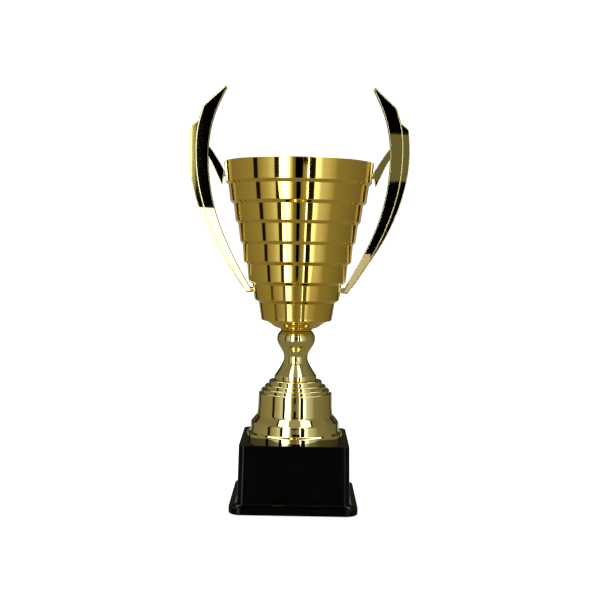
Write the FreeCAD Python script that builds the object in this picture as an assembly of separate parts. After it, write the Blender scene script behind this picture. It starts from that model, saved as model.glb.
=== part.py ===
"""A cup trophy: stepped metal cup with two blade handles, on a plastic stem, bell and black plinth.

Frame: millimetres, +Z up, origin on the table under the trophy's axis, X across the two handles.
Each real piece is a solid of its own in parts/NODE.step.
"""

import FreeCAD
import Part
import math
import os

V = FreeCAD.Vector

# ---- overall heights on the axis
FELT_T = 0.8                # felt stands this far below the plinth
PLINTH_TOP_Z = 62.3
STEM_FOOT_Z = 116.5
CUP_SEAT_Z = 163.5          # underside of the cup
RIM_Z = 320.5
SEAT_WASHER_T = 0.6
SEAT_WASHER_R = 14.0

# ---- plinth: hollow square moulding with a wider foot
BODY_HALF_TOP = 50.2
BODY_HALF_LOW = 51.1
BODY_CORNER_R = 5.5
FOOT_HALF = 58.6
FOOT_CORNER_R = 11.5
FOOT_TOP_Z = 7.2
COVE_TOP_Z = 11.6
PLINTH_WALL = 3.0
PLINTH_ROOF = 4.0
BOSS_XY = 41.0              # screw pillars in the four corners
BOSS_R = 4.6
WEB_L = 9.5                 # web between each pillar and the corner, ending inside the wall
WEB_T = 2.0
EDGE_R = 0.8                # small break on the plinth's outer edges
CAVITY_CORNER_R = 3.5
COVE_STEPS = 6
OVERCUT = 1.0               # how far a cutting tool runs past the face it opens

# ---- what closes and weights the plinth
PLATE_HALF = 54.0
PLATE_T = 2.4
PLATE_CORNER_R = 8.0
PLATE_GAP = 0.2             # between the board and its recess
FELT_HALF = 54.9
FELT_CORNER_R = 9.0
BALLAST_HALF = 44.0
BALLAST_CUT = 13.0          # cut corners, clear of the screw pillars
BALLAST_T = 28.0
BASE_SCREW_R = 1.45
BASE_SCREW_HEAD_R = 2.9
BASE_SCREW_L = 11.0
BASE_SCREW_HEAD_H = 1.6
BASE_SCREW_SINK = 0.05      # heads stand this far inside the board's face
BASE_SCREW_SLOT = (3.6, 0.7, 0.8)
SHANK_START = 1.0           # height in the head where the shank begins
PILLAR_HOLE_GAP = 0.02

# ---- tie rod and its fasteners, M6
ROD_R = 3.0
ROD_LOW_Z = 14.0
CLEAR_HOLE_R = 3.3
NUT_AF = 10.0
NUT_T = 5.0
THREAD_GAP = 0.03
WASHER_R = 9.0
WASHER_T = 1.6
LOCK_WASHER_R = 5.9
LOCK_WASHER_T = 1.6
CUP_WASHER_R = 12.0
CUP_WASHER_T = 1.2
CAP_NUT_R = 4.7
CAP_NUT_BORE = 2.3          # how far the cap nut's hole runs up into its dome
ROD_END_GAP = 0.3           # between the rod's upper end and the bottom of that hole
ROD_CHAMFER = 0.7
NUT_CHAMFER = 0.6
LOCK_SPLIT = 0.8

# ---- bell riser: hollow revolved moulding
BELL_WALL = 2.2
BELL_TUBE_R = 7.0
# radius, height and corner radius, up the outside from the flange
BELL_PROFILE = [
    (44.9, PLINTH_TOP_Z, 0.3),
    (44.9, 67.0, 1.8),
    (42.3, 69.0, 1.5),
    (41.8, 71.6, 1.2),
    (41.8, 77.0, 4.6),
    (35.7, 84.4, 5.0),
    (35.0, 91.5, 4.0),
    (34.7, 104.7, 1.9),
    (32.4, 104.9, 0.2),
    (32.4, 108.3, 1.5),
    (29.0, 108.6, 0.2),
    (29.0, 112.1, 1.5),
    (25.2, 112.4, 0.2),
    (25.2, STEM_FOOT_Z, 1.6),
]
BELL_ROOF_T = 2.8
BELL_ROOF_CORNER_R = 0.4
BELL_TUBE_CORNER_R = 1.0

# ---- stem: hollow revolved moulding, lip, flared foot, neck and knob
STEM_FLOOR_T = 2.4
STEM_LIP_R = 20.0
STEM_LIP_TOP_Z = 121.1
STEM_LIP_LOW_EDGE_R = 0.6
STEM_LIP_TOP_EDGE_R = 0.5
STEM_CORE_R = 6.0           # solid core round the rod
KNOB_HOLLOW_R = 14.2
KNOB_HOLLOW_MID_Z = 153.4
KNOB_HOLLOW_LOW_Z = 144.4
KNOB_HOLLOW_H = 15.5
FOOT_HOLLOW_LOW_R = 15.5
FOOT_HOLLOW_TOP_R = 7.8
FOOT_HOLLOW_H = 10.5
# radius and height of the smooth side between the lip and the top
STEM_CURVE = [
    (19.6, 121.0),
    (16.9, 125.2),
    (13.4, 131.0),
    (11.2, 137.9),
    (12.9, 143.9),
    (16.3, 149.5),
    (18.1, 155.5),
    (17.0, 160.1),
    (14.9, 162.9),
]

# ---- cup: thin spun bowl of eight tapering bands
CUP_WALL = 0.8
RIM_HEM_T = 1.5
RIM_HEM_H = 3.0
RIM_HEM_STEP = 0.8          # height of the slope from the hem back to the wall
SMALL_CORNER_R = 0.3
LEDGE_H = 2.5
CONVEX_R = 1.3
CONCAVE_R = 0.9
# top radius, bottom radius and bottom height of each band, from the rim down
BANDS = [
    (69.9, 68.3, 301.6),
    (65.7, 63.7, 283.6),
    (60.7, 58.6, 265.6),
    (56.2, 54.1, 246.6),
    (51.8, 50.5, 227.9),
    (47.2, 45.6, 209.4),
    (42.0, 39.9, 192.4),
    (36.0, 33.7, 174.5),
]
LAST_BAND_LIFT = 1.2        # the lowest band meets the dome this far above its stated height
LAST_BAND_CORNER_R = 1.0
# radius, height and corner radius of the dome under the bands, from the hole outwards
CUP_DOME = [
    (CLEAR_HOLE_R, CUP_SEAT_Z, 0.0),
    (14.8, CUP_SEAT_Z, 1.0),
    (15.1, 164.9, 0.5),
    (20.2, 166.3, 9.0),
    (25.6, 170.3, 7.0),
    (29.4, 172.4, 3.0),
    (33.4, 172.9, 1.9),
]

# ---- handles: two flat crescent blades in one moulding, and a strut to the cup
INNER_BLADE_T = 8.0
OUTER_BLADE_T = 4.8
STRUT_T = 6.0
BLADE_BEVEL = 0.9
# X and Z along the inner blade's side towards the cup, from the tip down
INNER_EDGE = [
    (68.3, 389.8),
    (77.2, 370.9),
    (82.9, 351.8),
    (85.2, 326.9),
    (83.8, 303.4),
    (78.5, 276.4),
    (68.2, 248.1),
    (56.2, 223.9),
    (42.4, 199.8),
]
# X and Z along the inner blade's far side, from the lower end up
INNER_FAR_EDGE = [
    (47.3, 198.2),
    (60.5, 218.4),
    (73.1, 239.4),
    (85.4, 266.9),
    (94.8, 300.9),
    (97.3, 328.4),
    (95.3, 354.9),
    (90.3, 372.4),
]
# X and Z along the slanted cut from that side to the blunt tip
INNER_CUT = [
    (80.0, 381.8),
    (69.9, 391.2),
]
# X and Z along the outer blade's hidden side, inside the inner blade, from the top down
OUTER_HIDDEN = [
    (90.3, 362.4),
    (91.0, 347.9),
    (91.2, 324.9),
    (87.0, 290.9),
    (76.5, 257.9),
    (63.5, 231.9),
    (49.8, 207.8),
]
# X and Z along the outer blade's far side, from the lower end up
OUTER_FAR_EDGE = [
    (51.5, 203.6),
    (65.9, 225.2),
    (80.2, 248.1),
    (94.2, 279.4),
    (100.9, 304.7),
    (103.3, 330.1),
    (101.8, 353.0),
]
# X and Z along the strut's upper side, from the blade down to the cup, and back along its lower side
STRUT_TOP = [
    (90.0, 340.2),
    (86.4, 336.8),
    (82.5, 332.4),
    (77.7, 325.4),
    (72.7, 317.2),
    (70.1, 312.6),
]
STRUT_UNDER = [
    (72.0, 299.0),
    (78.0, 311.8),
    (83.0, 321.8),
    (86.2, 326.6),
    (90.0, 331.4),
]

# ---- handle fixings: one screw at the strut and one at the lower end, from inside the cup
UPPER_FIX_Z = 309.4
LOWER_FIX_Z = 201.3
FIX_BOSS_R = 2.6
UPPER_BOSS_END = 76.0
LOWER_BOSS_END = 46.5
FIX_SCREW_R = 1.25
FIX_HOLE_R = 1.5
FIX_THREAD_R = 1.28
FIX_HEAD_R = 2.4
FIX_HEAD_H = 1.7
FIX_HEAD_EDGE_R = 0.7
FIX_CROSS = (2.6, 0.6, 0.8)  # length, width and depth of the head's cross slot
FIT_GAP = 0.05
FIX_WASHER_R = 3.1
FIX_WASHER_T = 0.5
UPPER_SCREW_L = 9.0
LOWER_SCREW_L = 8.0
THREAD_END_GAP = 0.5        # the hole in the boss runs this far past its screw


# ---- plane outlines


def unit(a, b):
    """Unit direction from point a to point b, both (r, z)."""
    length = math.hypot(b[0] - a[0], b[1] - a[1])
    return ((b[0] - a[0]) / length, (b[1] - a[1]) / length)


def offset_chain(chain, gap):
    """Moves a chain of (r, z, corner radius) to its left by gap, keeping arcs concentric."""
    moved = []
    last = len(chain) - 1
    for i, (r, z, corner) in enumerate(chain):
        before = unit(chain[max(i - 1, 0)], chain[max(i, 1)])
        after = unit(chain[min(i, last - 1)], chain[min(i + 1, last)])
        normal = (-before[1] - after[1], before[0] + after[0])
        reach = gap * 2.0 / (normal[0] ** 2 + normal[1] ** 2)
        turn = before[0] * after[1] - before[1] * after[0]
        grown = corner - gap if turn > 0 else corner + gap
        radius = max(grown, 0.0) if corner > 0 else 0.0
        moved.append((r + normal[0] * reach, z + normal[1] * reach, radius))
    return moved


def rounded_chain(chain):
    """Edges in the XZ plane along a chain of (r, z, corner radius), with its corners as arcs."""
    edges = []
    start = V(chain[0][0], 0, chain[0][1])
    for i in range(1, len(chain) - 1):
        r, z, radius = chain[i]
        corner = V(r, 0, z)
        back = V(chain[i - 1][0], 0, chain[i - 1][1]) - corner
        ahead = V(chain[i + 1][0], 0, chain[i + 1][1]) - corner
        half = back.getAngle(ahead) / 2.0
        if radius <= 0 or half > math.pi / 2 - 0.01:
            edges.append(Part.makeLine(start, corner))
            start = corner
            continue
        reach = min(radius / math.tan(half), 0.46 * back.Length, 0.46 * ahead.Length)
        radius = reach * math.tan(half)
        back.normalize()
        ahead.normalize()
        enter = corner + back * reach
        leave = corner + ahead * reach
        centre_way = back + ahead
        centre_way.normalize()
        middle = corner + centre_way * (radius / math.sin(half) - radius)
        edges.append(Part.makeLine(start, enter))
        edges.append(Part.Arc(enter, middle, leave).toShape())
        start = leave
    edges.append(Part.makeLine(start, V(chain[-1][0], 0, chain[-1][1])))
    return edges


def spline(points):
    """A smooth edge in the XZ plane through (x, z) points."""
    curve = Part.BSplineCurve()
    curve.interpolate([V(x, 0, z) for x, z in points])
    return curve.toShape()


def spin(edges):
    """Solid of revolution about Z of a closed run of edges in the XZ plane."""
    face = Part.Face(Part.Wire(Part.__sortEdges__(edges)))
    return as_solid(face.revolve(V(0, 0, 0), V(0, 0, 1), 360))


def as_solid(shape):
    """The one solid in a shape, outward-facing."""
    solid = Part.Solid(shape.Shells[0])
    if solid.Volume < 0:
        solid.reverse()
    return solid


def rounded_square(half, corner, z):
    """Wire of a square with rounded corners at height z."""
    flat = half - corner
    mid = half - corner + corner * math.sqrt(0.5)
    edges = []
    for quarter in range(4):
        turn = FreeCAD.Rotation(V(0, 0, 1), 90 * quarter)
        side = Part.makeLine(V(half, -flat, z), V(half, flat, z))
        arc = Part.Arc(V(half, flat, z), V(mid, mid, z), V(flat, half, z)).toShape()
        for edge in (side, arc):
            edge.Placement = FreeCAD.Placement(V(0, 0, 0), turn)
            edges.append(edge)
    return Part.Wire(Part.__sortEdges__(edges))


def square_loft(sections):
    """Solid through rounded squares given as (half width, corner radius, z)."""
    return Part.makeLoft([rounded_square(*s) for s in sections], True, True)


def pipe(outer_r, inner_r, z, height):
    """Round tube or washer standing on height z."""
    solid = Part.makeCylinder(outer_r, height, V(0, 0, z))
    return solid.cut(Part.makeCylinder(inner_r, height + 2 * OVERCUT, V(0, 0, z - OVERCUT)))


def hexagon(across_flats, z, height):
    """Hexagonal prism on the axis."""
    radius = across_flats / math.sqrt(3)
    corners = []
    for k in range(7):
        corners.append(V(radius * math.cos(math.pi * k / 3), radius * math.sin(math.pi * k / 3), z))
    return Part.Face(Part.makePolygon(corners)).extrude(V(0, 0, height))


# ---- plinth and what is in it


def cove_sections():
    """Squares down the hollow curve between the plinth's body and its foot."""
    sections = []
    reach = FOOT_HALF - EDGE_R - BODY_HALF_LOW
    for k in range(COVE_STEPS + 1):
        angle = math.radians(90.0 * k / COVE_STEPS)
        half = BODY_HALF_LOW + reach * (1 - math.cos(angle))
        share = (half - BODY_HALF_LOW) / reach
        corner = BODY_CORNER_R + (FOOT_CORNER_R - EDGE_R - BODY_CORNER_R) * share
        sections.append((half, corner, COVE_TOP_Z - (COVE_TOP_Z - FOOT_TOP_Z) * math.sin(angle)))
    return sections


def plinth():
    """The black hollow plinth, open below, with four screw pillars."""
    foot = [
        (FOOT_HALF - EDGE_R, FOOT_CORNER_R - EDGE_R, FELT_T),
        (FOOT_HALF, FOOT_CORNER_R, FELT_T + EDGE_R),
        (FOOT_HALF, FOOT_CORNER_R, FOOT_TOP_Z - EDGE_R),
    ]
    body = [
        (BODY_HALF_TOP, BODY_CORNER_R, PLINTH_TOP_Z - EDGE_R / 2),
        (BODY_HALF_TOP - EDGE_R / 2, BODY_CORNER_R - EDGE_R / 2, PLINTH_TOP_Z),
    ]
    outside = square_loft(foot + cove_sections()[::-1] + body)
    plate_z = FELT_T + PLATE_T
    roof_z = PLINTH_TOP_Z - PLINTH_ROOF
    below = FELT_T - OVERCUT
    cavity = square_loft([
        (BODY_HALF_LOW - PLINTH_WALL, CAVITY_CORNER_R, below),
        (BODY_HALF_TOP - PLINTH_WALL, CAVITY_CORNER_R, roof_z),
    ])
    recess_half = PLATE_HALF + PLATE_GAP
    recess_corner = PLATE_CORNER_R + PLATE_GAP
    recess = square_loft([(recess_half, recess_corner, below), (recess_half, recess_corner, plate_z)])
    shell = outside.cut(cavity).cut(recess)
    rise = roof_z + OVERCUT - plate_z
    for x, y in boss_places():
        pillar = Part.makeCylinder(BOSS_R, rise, V(x, y, plate_z))
        web = Part.makeBox(WEB_L, WEB_T, rise, V(0, -WEB_T / 2, plate_z))
        web.rotate(V(0, 0, 0), V(0, 0, 1), math.degrees(math.atan2(y, x)))
        web.translate(V(x, y, 0))
        shell = shell.fuse(pillar).fuse(web.common(outside))
        hole_r = BASE_SCREW_R + PILLAR_HOLE_GAP
        shell = shell.cut(Part.makeCylinder(hole_r, BASE_SCREW_L + OVERCUT, V(x, y, plate_z - OVERCUT)))
    rod_hole = Part.makeCylinder(CLEAR_HOLE_R, PLINTH_ROOF + 2 * OVERCUT, V(0, 0, roof_z - OVERCUT))
    return shell.cut(rod_hole).removeSplitter()


def boss_places():
    """Centres of the four screw pillars."""
    return [(sx * BOSS_XY, sy * BOSS_XY) for sx in (1, -1) for sy in (1, -1)]


def felt_pad():
    """Felt sheet glued under the base plate; the trophy stands on it."""
    return square_loft([(FELT_HALF, FELT_CORNER_R, 0), (FELT_HALF, FELT_CORNER_R, FELT_T)])


def base_plate():
    """Board that closes the plinth, countersunk for its four screws."""
    z = FELT_T
    plate = square_loft([(PLATE_HALF, PLATE_CORNER_R, z), (PLATE_HALF, PLATE_CORNER_R, z + PLATE_T)])
    through = PLATE_T + 2 * OVERCUT
    for x, y in boss_places():
        plate = plate.cut(Part.makeCylinder(BASE_SCREW_R + 0.15, through, V(x, y, z - OVERCUT)))
        sink = Part.makeCone(BASE_SCREW_HEAD_R + 0.05, BASE_SCREW_R + 0.05, BASE_SCREW_HEAD_H, V(x, y, z))
        plate = plate.cut(sink)
    return plate


def base_screws():
    """Four countersunk screws, heads flush with the plate."""
    length, width, depth = BASE_SCREW_SLOT
    screws = []
    for x, y in boss_places():
        place = V(x, y, FELT_T + BASE_SCREW_SINK)
        head = Part.makeCone(BASE_SCREW_HEAD_R, BASE_SCREW_R, BASE_SCREW_HEAD_H, place)
        shank = Part.makeCylinder(BASE_SCREW_R, BASE_SCREW_L, V(x, y, FELT_T + SHANK_START))
        slot = Part.makeBox(length, width, depth, V(x - length / 2, y - width / 2, FELT_T))
        screws.append(head.fuse(shank).cut(slot).removeSplitter())
    return Part.makeCompound(screws)


def ballast_block():
    """Cast weight clamped under the plinth's roof by the tie rod."""
    low = PLINTH_TOP_Z - PLINTH_ROOF - BALLAST_T
    a = BALLAST_HALF
    b = BALLAST_HALF - BALLAST_CUT
    corners = [(a, -b), (a, b), (b, a), (-b, a), (-a, b), (-a, -b), (-b, -a), (b, -a), (a, -b)]
    face = Part.Face(Part.makePolygon([V(x, y, low) for x, y in corners]))
    block = face.extrude(V(0, 0, BALLAST_T))
    return block.cut(Part.makeCylinder(CLEAR_HOLE_R, BALLAST_T + 2 * OVERCUT, V(0, 0, low - OVERCUT)))


# ---- tie rod and fasteners


def lower_stack():
    """Heights of the washer, lock washer and nut under the ballast, each its lower face."""
    washer_z = PLINTH_TOP_Z - PLINTH_ROOF - BALLAST_T - WASHER_T
    lock_z = washer_z - LOCK_WASHER_T
    return washer_z, lock_z, lock_z - NUT_T


def tie_rod():
    """Threaded rod from the plinth up into the cup, with chamfered ends."""
    top = CUP_SEAT_Z + CUP_WALL + CUP_WASHER_T + NUT_T + CAP_NUT_BORE - ROD_END_GAP
    rod = Part.makeCylinder(ROD_R, top - ROD_LOW_Z, V(0, 0, ROD_LOW_Z))
    return rod.makeChamfer(ROD_CHAMFER, [e for e in rod.Edges if e.Closed])


def hex_nut(z):
    """M6 nut with turned corners."""
    nut = hexagon(NUT_AF, z, NUT_T)
    top_r = NUT_AF / math.sqrt(3) - NUT_CHAMFER
    cone = Part.makeCone(top_r + NUT_T, top_r, NUT_T, V(0, 0, z))
    hole = Part.makeCylinder(ROD_R + THREAD_GAP, NUT_T + 2 * OVERCUT, V(0, 0, z - OVERCUT))
    return nut.common(cone).cut(hole)


def cap_nut():
    """Domed M6 nut inside the cup, over the end of the rod."""
    z = CUP_SEAT_Z + CUP_WALL + CUP_WASHER_T
    dome = Part.makeSphere(CAP_NUT_R, V(0, 0, z + NUT_T))
    upper = Part.makeCylinder(CAP_NUT_R, CAP_NUT_R + OVERCUT, V(0, 0, z + NUT_T - OVERCUT))
    body = hexagon(NUT_AF, z, NUT_T).fuse(dome.common(upper)).removeSplitter()
    bore = NUT_T + CAP_NUT_BORE + OVERCUT
    return body.cut(Part.makeCylinder(ROD_R + THREAD_GAP, bore, V(0, 0, z - OVERCUT)))


def lock_washer(z):
    """Split spring washer."""
    ring = pipe(LOCK_WASHER_R, ROD_R + 0.15, z, LOCK_WASHER_T)
    through = LOCK_WASHER_T + 2 * OVERCUT
    gap = Part.makeBox(LOCK_WASHER_R + OVERCUT, LOCK_SPLIT, through, V(0, -LOCK_SPLIT / 2, z - OVERCUT))
    return ring.cut(gap)


# ---- turned column


def bell_riser():
    """Hollow bell with a central tube that carries the clamping load."""
    outer = BELL_PROFILE + [(CLEAR_HOLE_R, STEM_FOOT_Z, 0.0)]
    inner = offset_chain(BELL_PROFILE, BELL_WALL)
    ceiling_z = STEM_FOOT_Z - BELL_ROOF_T
    inner[0] = (inner[0][0], PLINTH_TOP_Z, 0.0)
    inner[-1] = (inner[-1][0], ceiling_z, BELL_ROOF_CORNER_R)
    inner.append((BELL_TUBE_R, ceiling_z, BELL_TUBE_CORNER_R))
    inner.append((BELL_TUBE_R, PLINTH_TOP_Z, 0.0))
    edges = rounded_chain(outer) + rounded_chain(inner)
    edges.append(Part.makeLine(V(inner[0][0], 0, PLINTH_TOP_Z), V(outer[0][0], 0, PLINTH_TOP_Z)))
    edges.append(Part.makeLine(V(BELL_TUBE_R, 0, PLINTH_TOP_Z), V(CLEAR_HOLE_R, 0, PLINTH_TOP_Z)))
    edges.append(Part.makeLine(V(CLEAR_HOLE_R, 0, PLINTH_TOP_Z), V(CLEAR_HOLE_R, 0, STEM_FOOT_Z)))
    return spin(edges)


def stem():
    """Turned stem: lip, flared foot, neck and knob, hollow but for its ends."""
    side = spline(STEM_CURVE)
    lip = rounded_chain([
        (CLEAR_HOLE_R, STEM_FOOT_Z, 0.0),
        (STEM_LIP_R, STEM_FOOT_Z, STEM_LIP_LOW_EDGE_R),
        (STEM_LIP_R, STEM_LIP_TOP_Z, STEM_LIP_TOP_EDGE_R),
        (STEM_CURVE[0][0], STEM_CURVE[0][1], 0.0),
    ])
    top_r, top_z = STEM_CURVE[-1]
    roof = Part.makeLine(V(top_r, 0, top_z), V(CLEAR_HOLE_R, 0, top_z))
    bore = Part.makeLine(V(CLEAR_HOLE_R, 0, top_z), V(CLEAR_HOLE_R, 0, STEM_FOOT_Z))
    body = spin(lip + [side, roof, bore])
    knob_hollow = Part.makeSphere(KNOB_HOLLOW_R, V(0, 0, KNOB_HOLLOW_MID_Z))
    slice_r = KNOB_HOLLOW_R + OVERCUT
    knob_hollow = knob_hollow.common(Part.makeCylinder(slice_r, KNOB_HOLLOW_H, V(0, 0, KNOB_HOLLOW_LOW_Z)))
    foot_place = V(0, 0, STEM_FOOT_Z + STEM_FLOOR_T)
    foot_hollow = Part.makeCone(FOOT_HOLLOW_LOW_R, FOOT_HOLLOW_TOP_R, FOOT_HOLLOW_H, foot_place)
    core = Part.makeCylinder(STEM_CORE_R, top_z - STEM_FOOT_Z, V(0, 0, STEM_FOOT_Z))
    return body.cut(knob_hollow.cut(core)).cut(foot_hollow.cut(core))


# ---- cup


def cup_outline():
    """The cup's outer side as (r, z, corner radius), from the hole up to the rim."""
    chain = list(CUP_DOME)
    for k in range(len(BANDS) - 1, -1, -1):
        top_r, low_r, low_z = BANDS[k]
        if k == len(BANDS) - 1:
            chain.append((low_r, low_z + LAST_BAND_LIFT, LAST_BAND_CORNER_R))
        else:
            chain.append((low_r, low_z, CONVEX_R))
        top_z = RIM_Z if k == 0 else BANDS[k - 1][2] - LEDGE_H
        chain.append((top_r, top_z, CONCAVE_R if k else 0.0))
    return chain


def wall_radius(z):
    """Outer radius of the cup's wall at height z."""
    chain = cup_outline()
    for (r0, z0, _), (r1, z1, _) in zip(chain, chain[1:]):
        if z0 < z <= z1:
            return r0 + (r1 - r0) * (z - z0) / (z1 - z0)
    raise ValueError("height outside the cup")


def cup_bowl():
    """The spun bowl, hemmed at the rim, with four screw holes for the handles."""
    outer = cup_outline()
    inner = offset_chain(outer, CUP_WALL)
    inner[0] = (CLEAR_HOLE_R, inner[0][1], 0.0)
    hem_r = BANDS[0][0] - RIM_HEM_T
    slope = (BANDS[0][0] - BANDS[0][1]) / (RIM_Z - BANDS[0][2])
    step_h = RIM_HEM_H + RIM_HEM_STEP
    inner[-1] = (inner[-1][0] - slope * step_h, RIM_Z - step_h, SMALL_CORNER_R)
    inner.append((hem_r - slope * RIM_HEM_H, RIM_Z - RIM_HEM_H, SMALL_CORNER_R))
    inner.append((hem_r, RIM_Z - RIM_HEM_T / 2, 0.0))
    outer[-1] = (outer[-1][0], RIM_Z - RIM_HEM_T / 2, 0.0)
    start = V(outer[-1][0], 0, outer[-1][1])
    finish = V(inner[-1][0], 0, inner[-1][1])
    crown = V((start.x + finish.x) / 2, 0, RIM_Z)
    edges = rounded_chain(outer) + rounded_chain(inner)
    edges.append(Part.Arc(start, crown, finish).toShape())
    edges.append(Part.makeLine(V(outer[0][0], 0, outer[0][1]), V(inner[0][0], 0, inner[0][1])))
    bowl = spin(edges)
    across = 2 * BANDS[0][0] + 2 * OVERCUT
    for z in (UPPER_FIX_Z, LOWER_FIX_Z):
        bowl = bowl.cut(Part.makeCylinder(FIX_HOLE_R, across, V(-across / 2, 0, z), V(1, 0, 0)))
    return bowl


# ---- handles


def loop_wire(runs):
    """Closed wire through runs of (x, z) points: a smooth curve along each run, straight between runs."""
    edges = []
    for k, run in enumerate(runs):
        following = runs[(k + 1) % len(runs)]
        edges.append(spline(run))
        edges.append(Part.makeLine(V(run[-1][0], 0, run[-1][1]), V(following[0][0], 0, following[0][1])))
    return Part.Wire(Part.__sortEdges__(edges))


def inset(runs, gap):
    """The same runs, taken anticlockwise, moved inwards by gap."""
    points = [p for run in runs for p in run]
    wrapped = [points[-1]] + points + [points[0]]
    moved = offset_chain([(x, z, 0.0) for x, z in wrapped], gap)[1:-1]
    shrunk = []
    for run in runs:
        shrunk.append([(x, z) for x, z, _ in moved[:len(run)]])
        moved = moved[len(run):]
    return shrunk


def blade(runs, thickness):
    """Flat blade with bevelled edges, centred on Y, from an outline's anticlockwise runs."""
    half = thickness / 2
    full = loop_wire(runs)
    small = loop_wire(inset(runs, BLADE_BEVEL))
    sections = []
    for wire, y in ((small, -half), (full, BLADE_BEVEL - half), (full, half - BLADE_BEVEL), (small, half)):
        section = wire.copy()
        section.translate(V(0, y, 0))
        sections.append(section)
    return as_solid(Part.makeLoft(sections, True, True))


def handle_right():
    """One moulding: inner blade, thinner outer blade behind it, strut and two bosses."""
    handle = blade([INNER_EDGE, INNER_FAR_EDGE, INNER_CUT], INNER_BLADE_T)
    handle = handle.fuse(blade([OUTER_HIDDEN, OUTER_FAR_EDGE], OUTER_BLADE_T))
    handle = handle.fuse(blade([STRUT_TOP, STRUT_UNDER], STRUT_T))
    for z, far, length in fixings():
        start = wall_radius(z + FIX_BOSS_R) + FIT_GAP
        handle = handle.fuse(Part.makeCylinder(FIX_BOSS_R, far - start, V(start, 0, z), V(1, 0, 0)))
    for z, far, length in fixings():
        tip = screw_seat(z) + FIX_WASHER_T + length + THREAD_END_GAP
        handle = handle.cut(Part.makeCylinder(FIX_THREAD_R, tip, V(0, 0, z), V(1, 0, 0)))
    return handle.removeSplitter()


def fixings():
    """Height, far end of the boss and screw length of each handle fixing."""
    return [(UPPER_FIX_Z, UPPER_BOSS_END, UPPER_SCREW_L), (LOWER_FIX_Z, LOWER_BOSS_END, LOWER_SCREW_L)]


def screw_seat(z):
    """X where a fixing's flat washer stands off the hollow wall, on its screw's side."""
    wall = wall_radius(z - FIX_WASHER_R) - CUP_WALL * 1.02
    sag = FIX_WASHER_R ** 2 / (2 * wall)
    return wall - sag - FIX_WASHER_T


def mirrored(solid):
    """The same piece on the other side."""
    copy = solid.copy()
    copy.rotate(V(0, 0, 0), V(0, 0, 1), 180)
    return copy


def handle_screws():
    """Four pan head screws, heads inside the cup."""
    long, wide, deep = FIX_CROSS
    screws = []
    for z, far, length in fixings():
        face = screw_seat(z) - FIX_HEAD_H
        head = Part.makeCylinder(FIX_HEAD_R, FIX_HEAD_H, V(face, 0, z), V(1, 0, 0))
        crown = [e for e in head.Edges if e.Closed and e.BoundBox.XMax < face + FIT_GAP]
        head = head.makeFillet(FIX_HEAD_EDGE_R, crown)
        shank = Part.makeCylinder(FIX_SCREW_R, length + FIX_WASHER_T, V(face + FIX_HEAD_H, 0, z), V(1, 0, 0))
        start = face - OVERCUT
        upright = Part.makeBox(deep + OVERCUT, wide, long, V(start, -wide / 2, z - long / 2))
        level = Part.makeBox(deep + OVERCUT, long, wide, V(start, -long / 2, z - wide / 2))
        screw = head.fuse(shank).cut(upright).cut(level)
        screws += [screw, mirrored(screw)]
    return Part.makeCompound(screws)


def handle_washers():
    """Four flat washers under those heads."""
    washers = []
    for z, far, length in fixings():
        seat = screw_seat(z)
        ring = Part.makeCylinder(FIX_WASHER_R, FIX_WASHER_T, V(seat, 0, z), V(1, 0, 0))
        hole = Part.makeCylinder(FIX_HOLE_R, FIX_WASHER_T + 2 * OVERCUT, V(seat - OVERCUT, 0, z), V(1, 0, 0))
        ring = ring.cut(hole)
        washers += [ring, mirrored(ring)]
    return Part.makeCompound(washers)


def nodes():
    """Every node and its shape."""
    washer_z, lock_z, nut_z = lower_stack()
    right = handle_right()
    return {
        "plinth": plinth(),
        "felt_pad": felt_pad(),
        "base_plate": base_plate(),
        "base_screws": base_screws(),
        "ballast_block": ballast_block(),
        "tie_rod": tie_rod(),
        "lower_washer": pipe(WASHER_R, CLEAR_HOLE_R, washer_z, WASHER_T),
        "lower_lock_washer": lock_washer(lock_z),
        "lower_nut": hex_nut(nut_z),
        "bell_riser": bell_riser(),
        "stem": stem(),
        "seat_washer": pipe(SEAT_WASHER_R, CLEAR_HOLE_R, CUP_SEAT_Z - SEAT_WASHER_T, SEAT_WASHER_T),
        "cup_bowl": cup_bowl(),
        "cup_washer": pipe(CUP_WASHER_R, CLEAR_HOLE_R, CUP_SEAT_Z + CUP_WALL, CUP_WASHER_T),
        "cap_nut": cap_nut(),
        "handle_right": right,
        "handle_left": mirrored(right),
        "handle_screws": handle_screws(),
        "handle_washers": handle_washers(),
    }


def main():
    os.makedirs("parts", exist_ok=True)
    for name, shape in nodes().items():
        box = shape.BoundBox
        print(
            f"{name:18s} solids {len(shape.Solids)} valid {shape.isValid()} vol {shape.Volume:10.1f}"
            f"  x {box.XMin:7.2f} {box.XMax:7.2f}  y {box.YMin:7.2f} {box.YMax:7.2f}"
            f"  z {box.ZMin:7.2f} {box.ZMax:7.2f}"
        )
        shape.exportStep(os.path.join("parts", name + ".step"))


if __name__ == "__main__":
    main()
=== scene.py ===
"""Looks of a cup trophy: spun metal cup, metallised column and handles, glossy black plinth.

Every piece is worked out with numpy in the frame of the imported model, in metres, +Z up.
"""

import logging
import math
from dataclasses import dataclass, field
from enum import Enum
from typing import Sequence

import bpy
import numpy as np
from mathutils import Matrix, Vector


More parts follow.
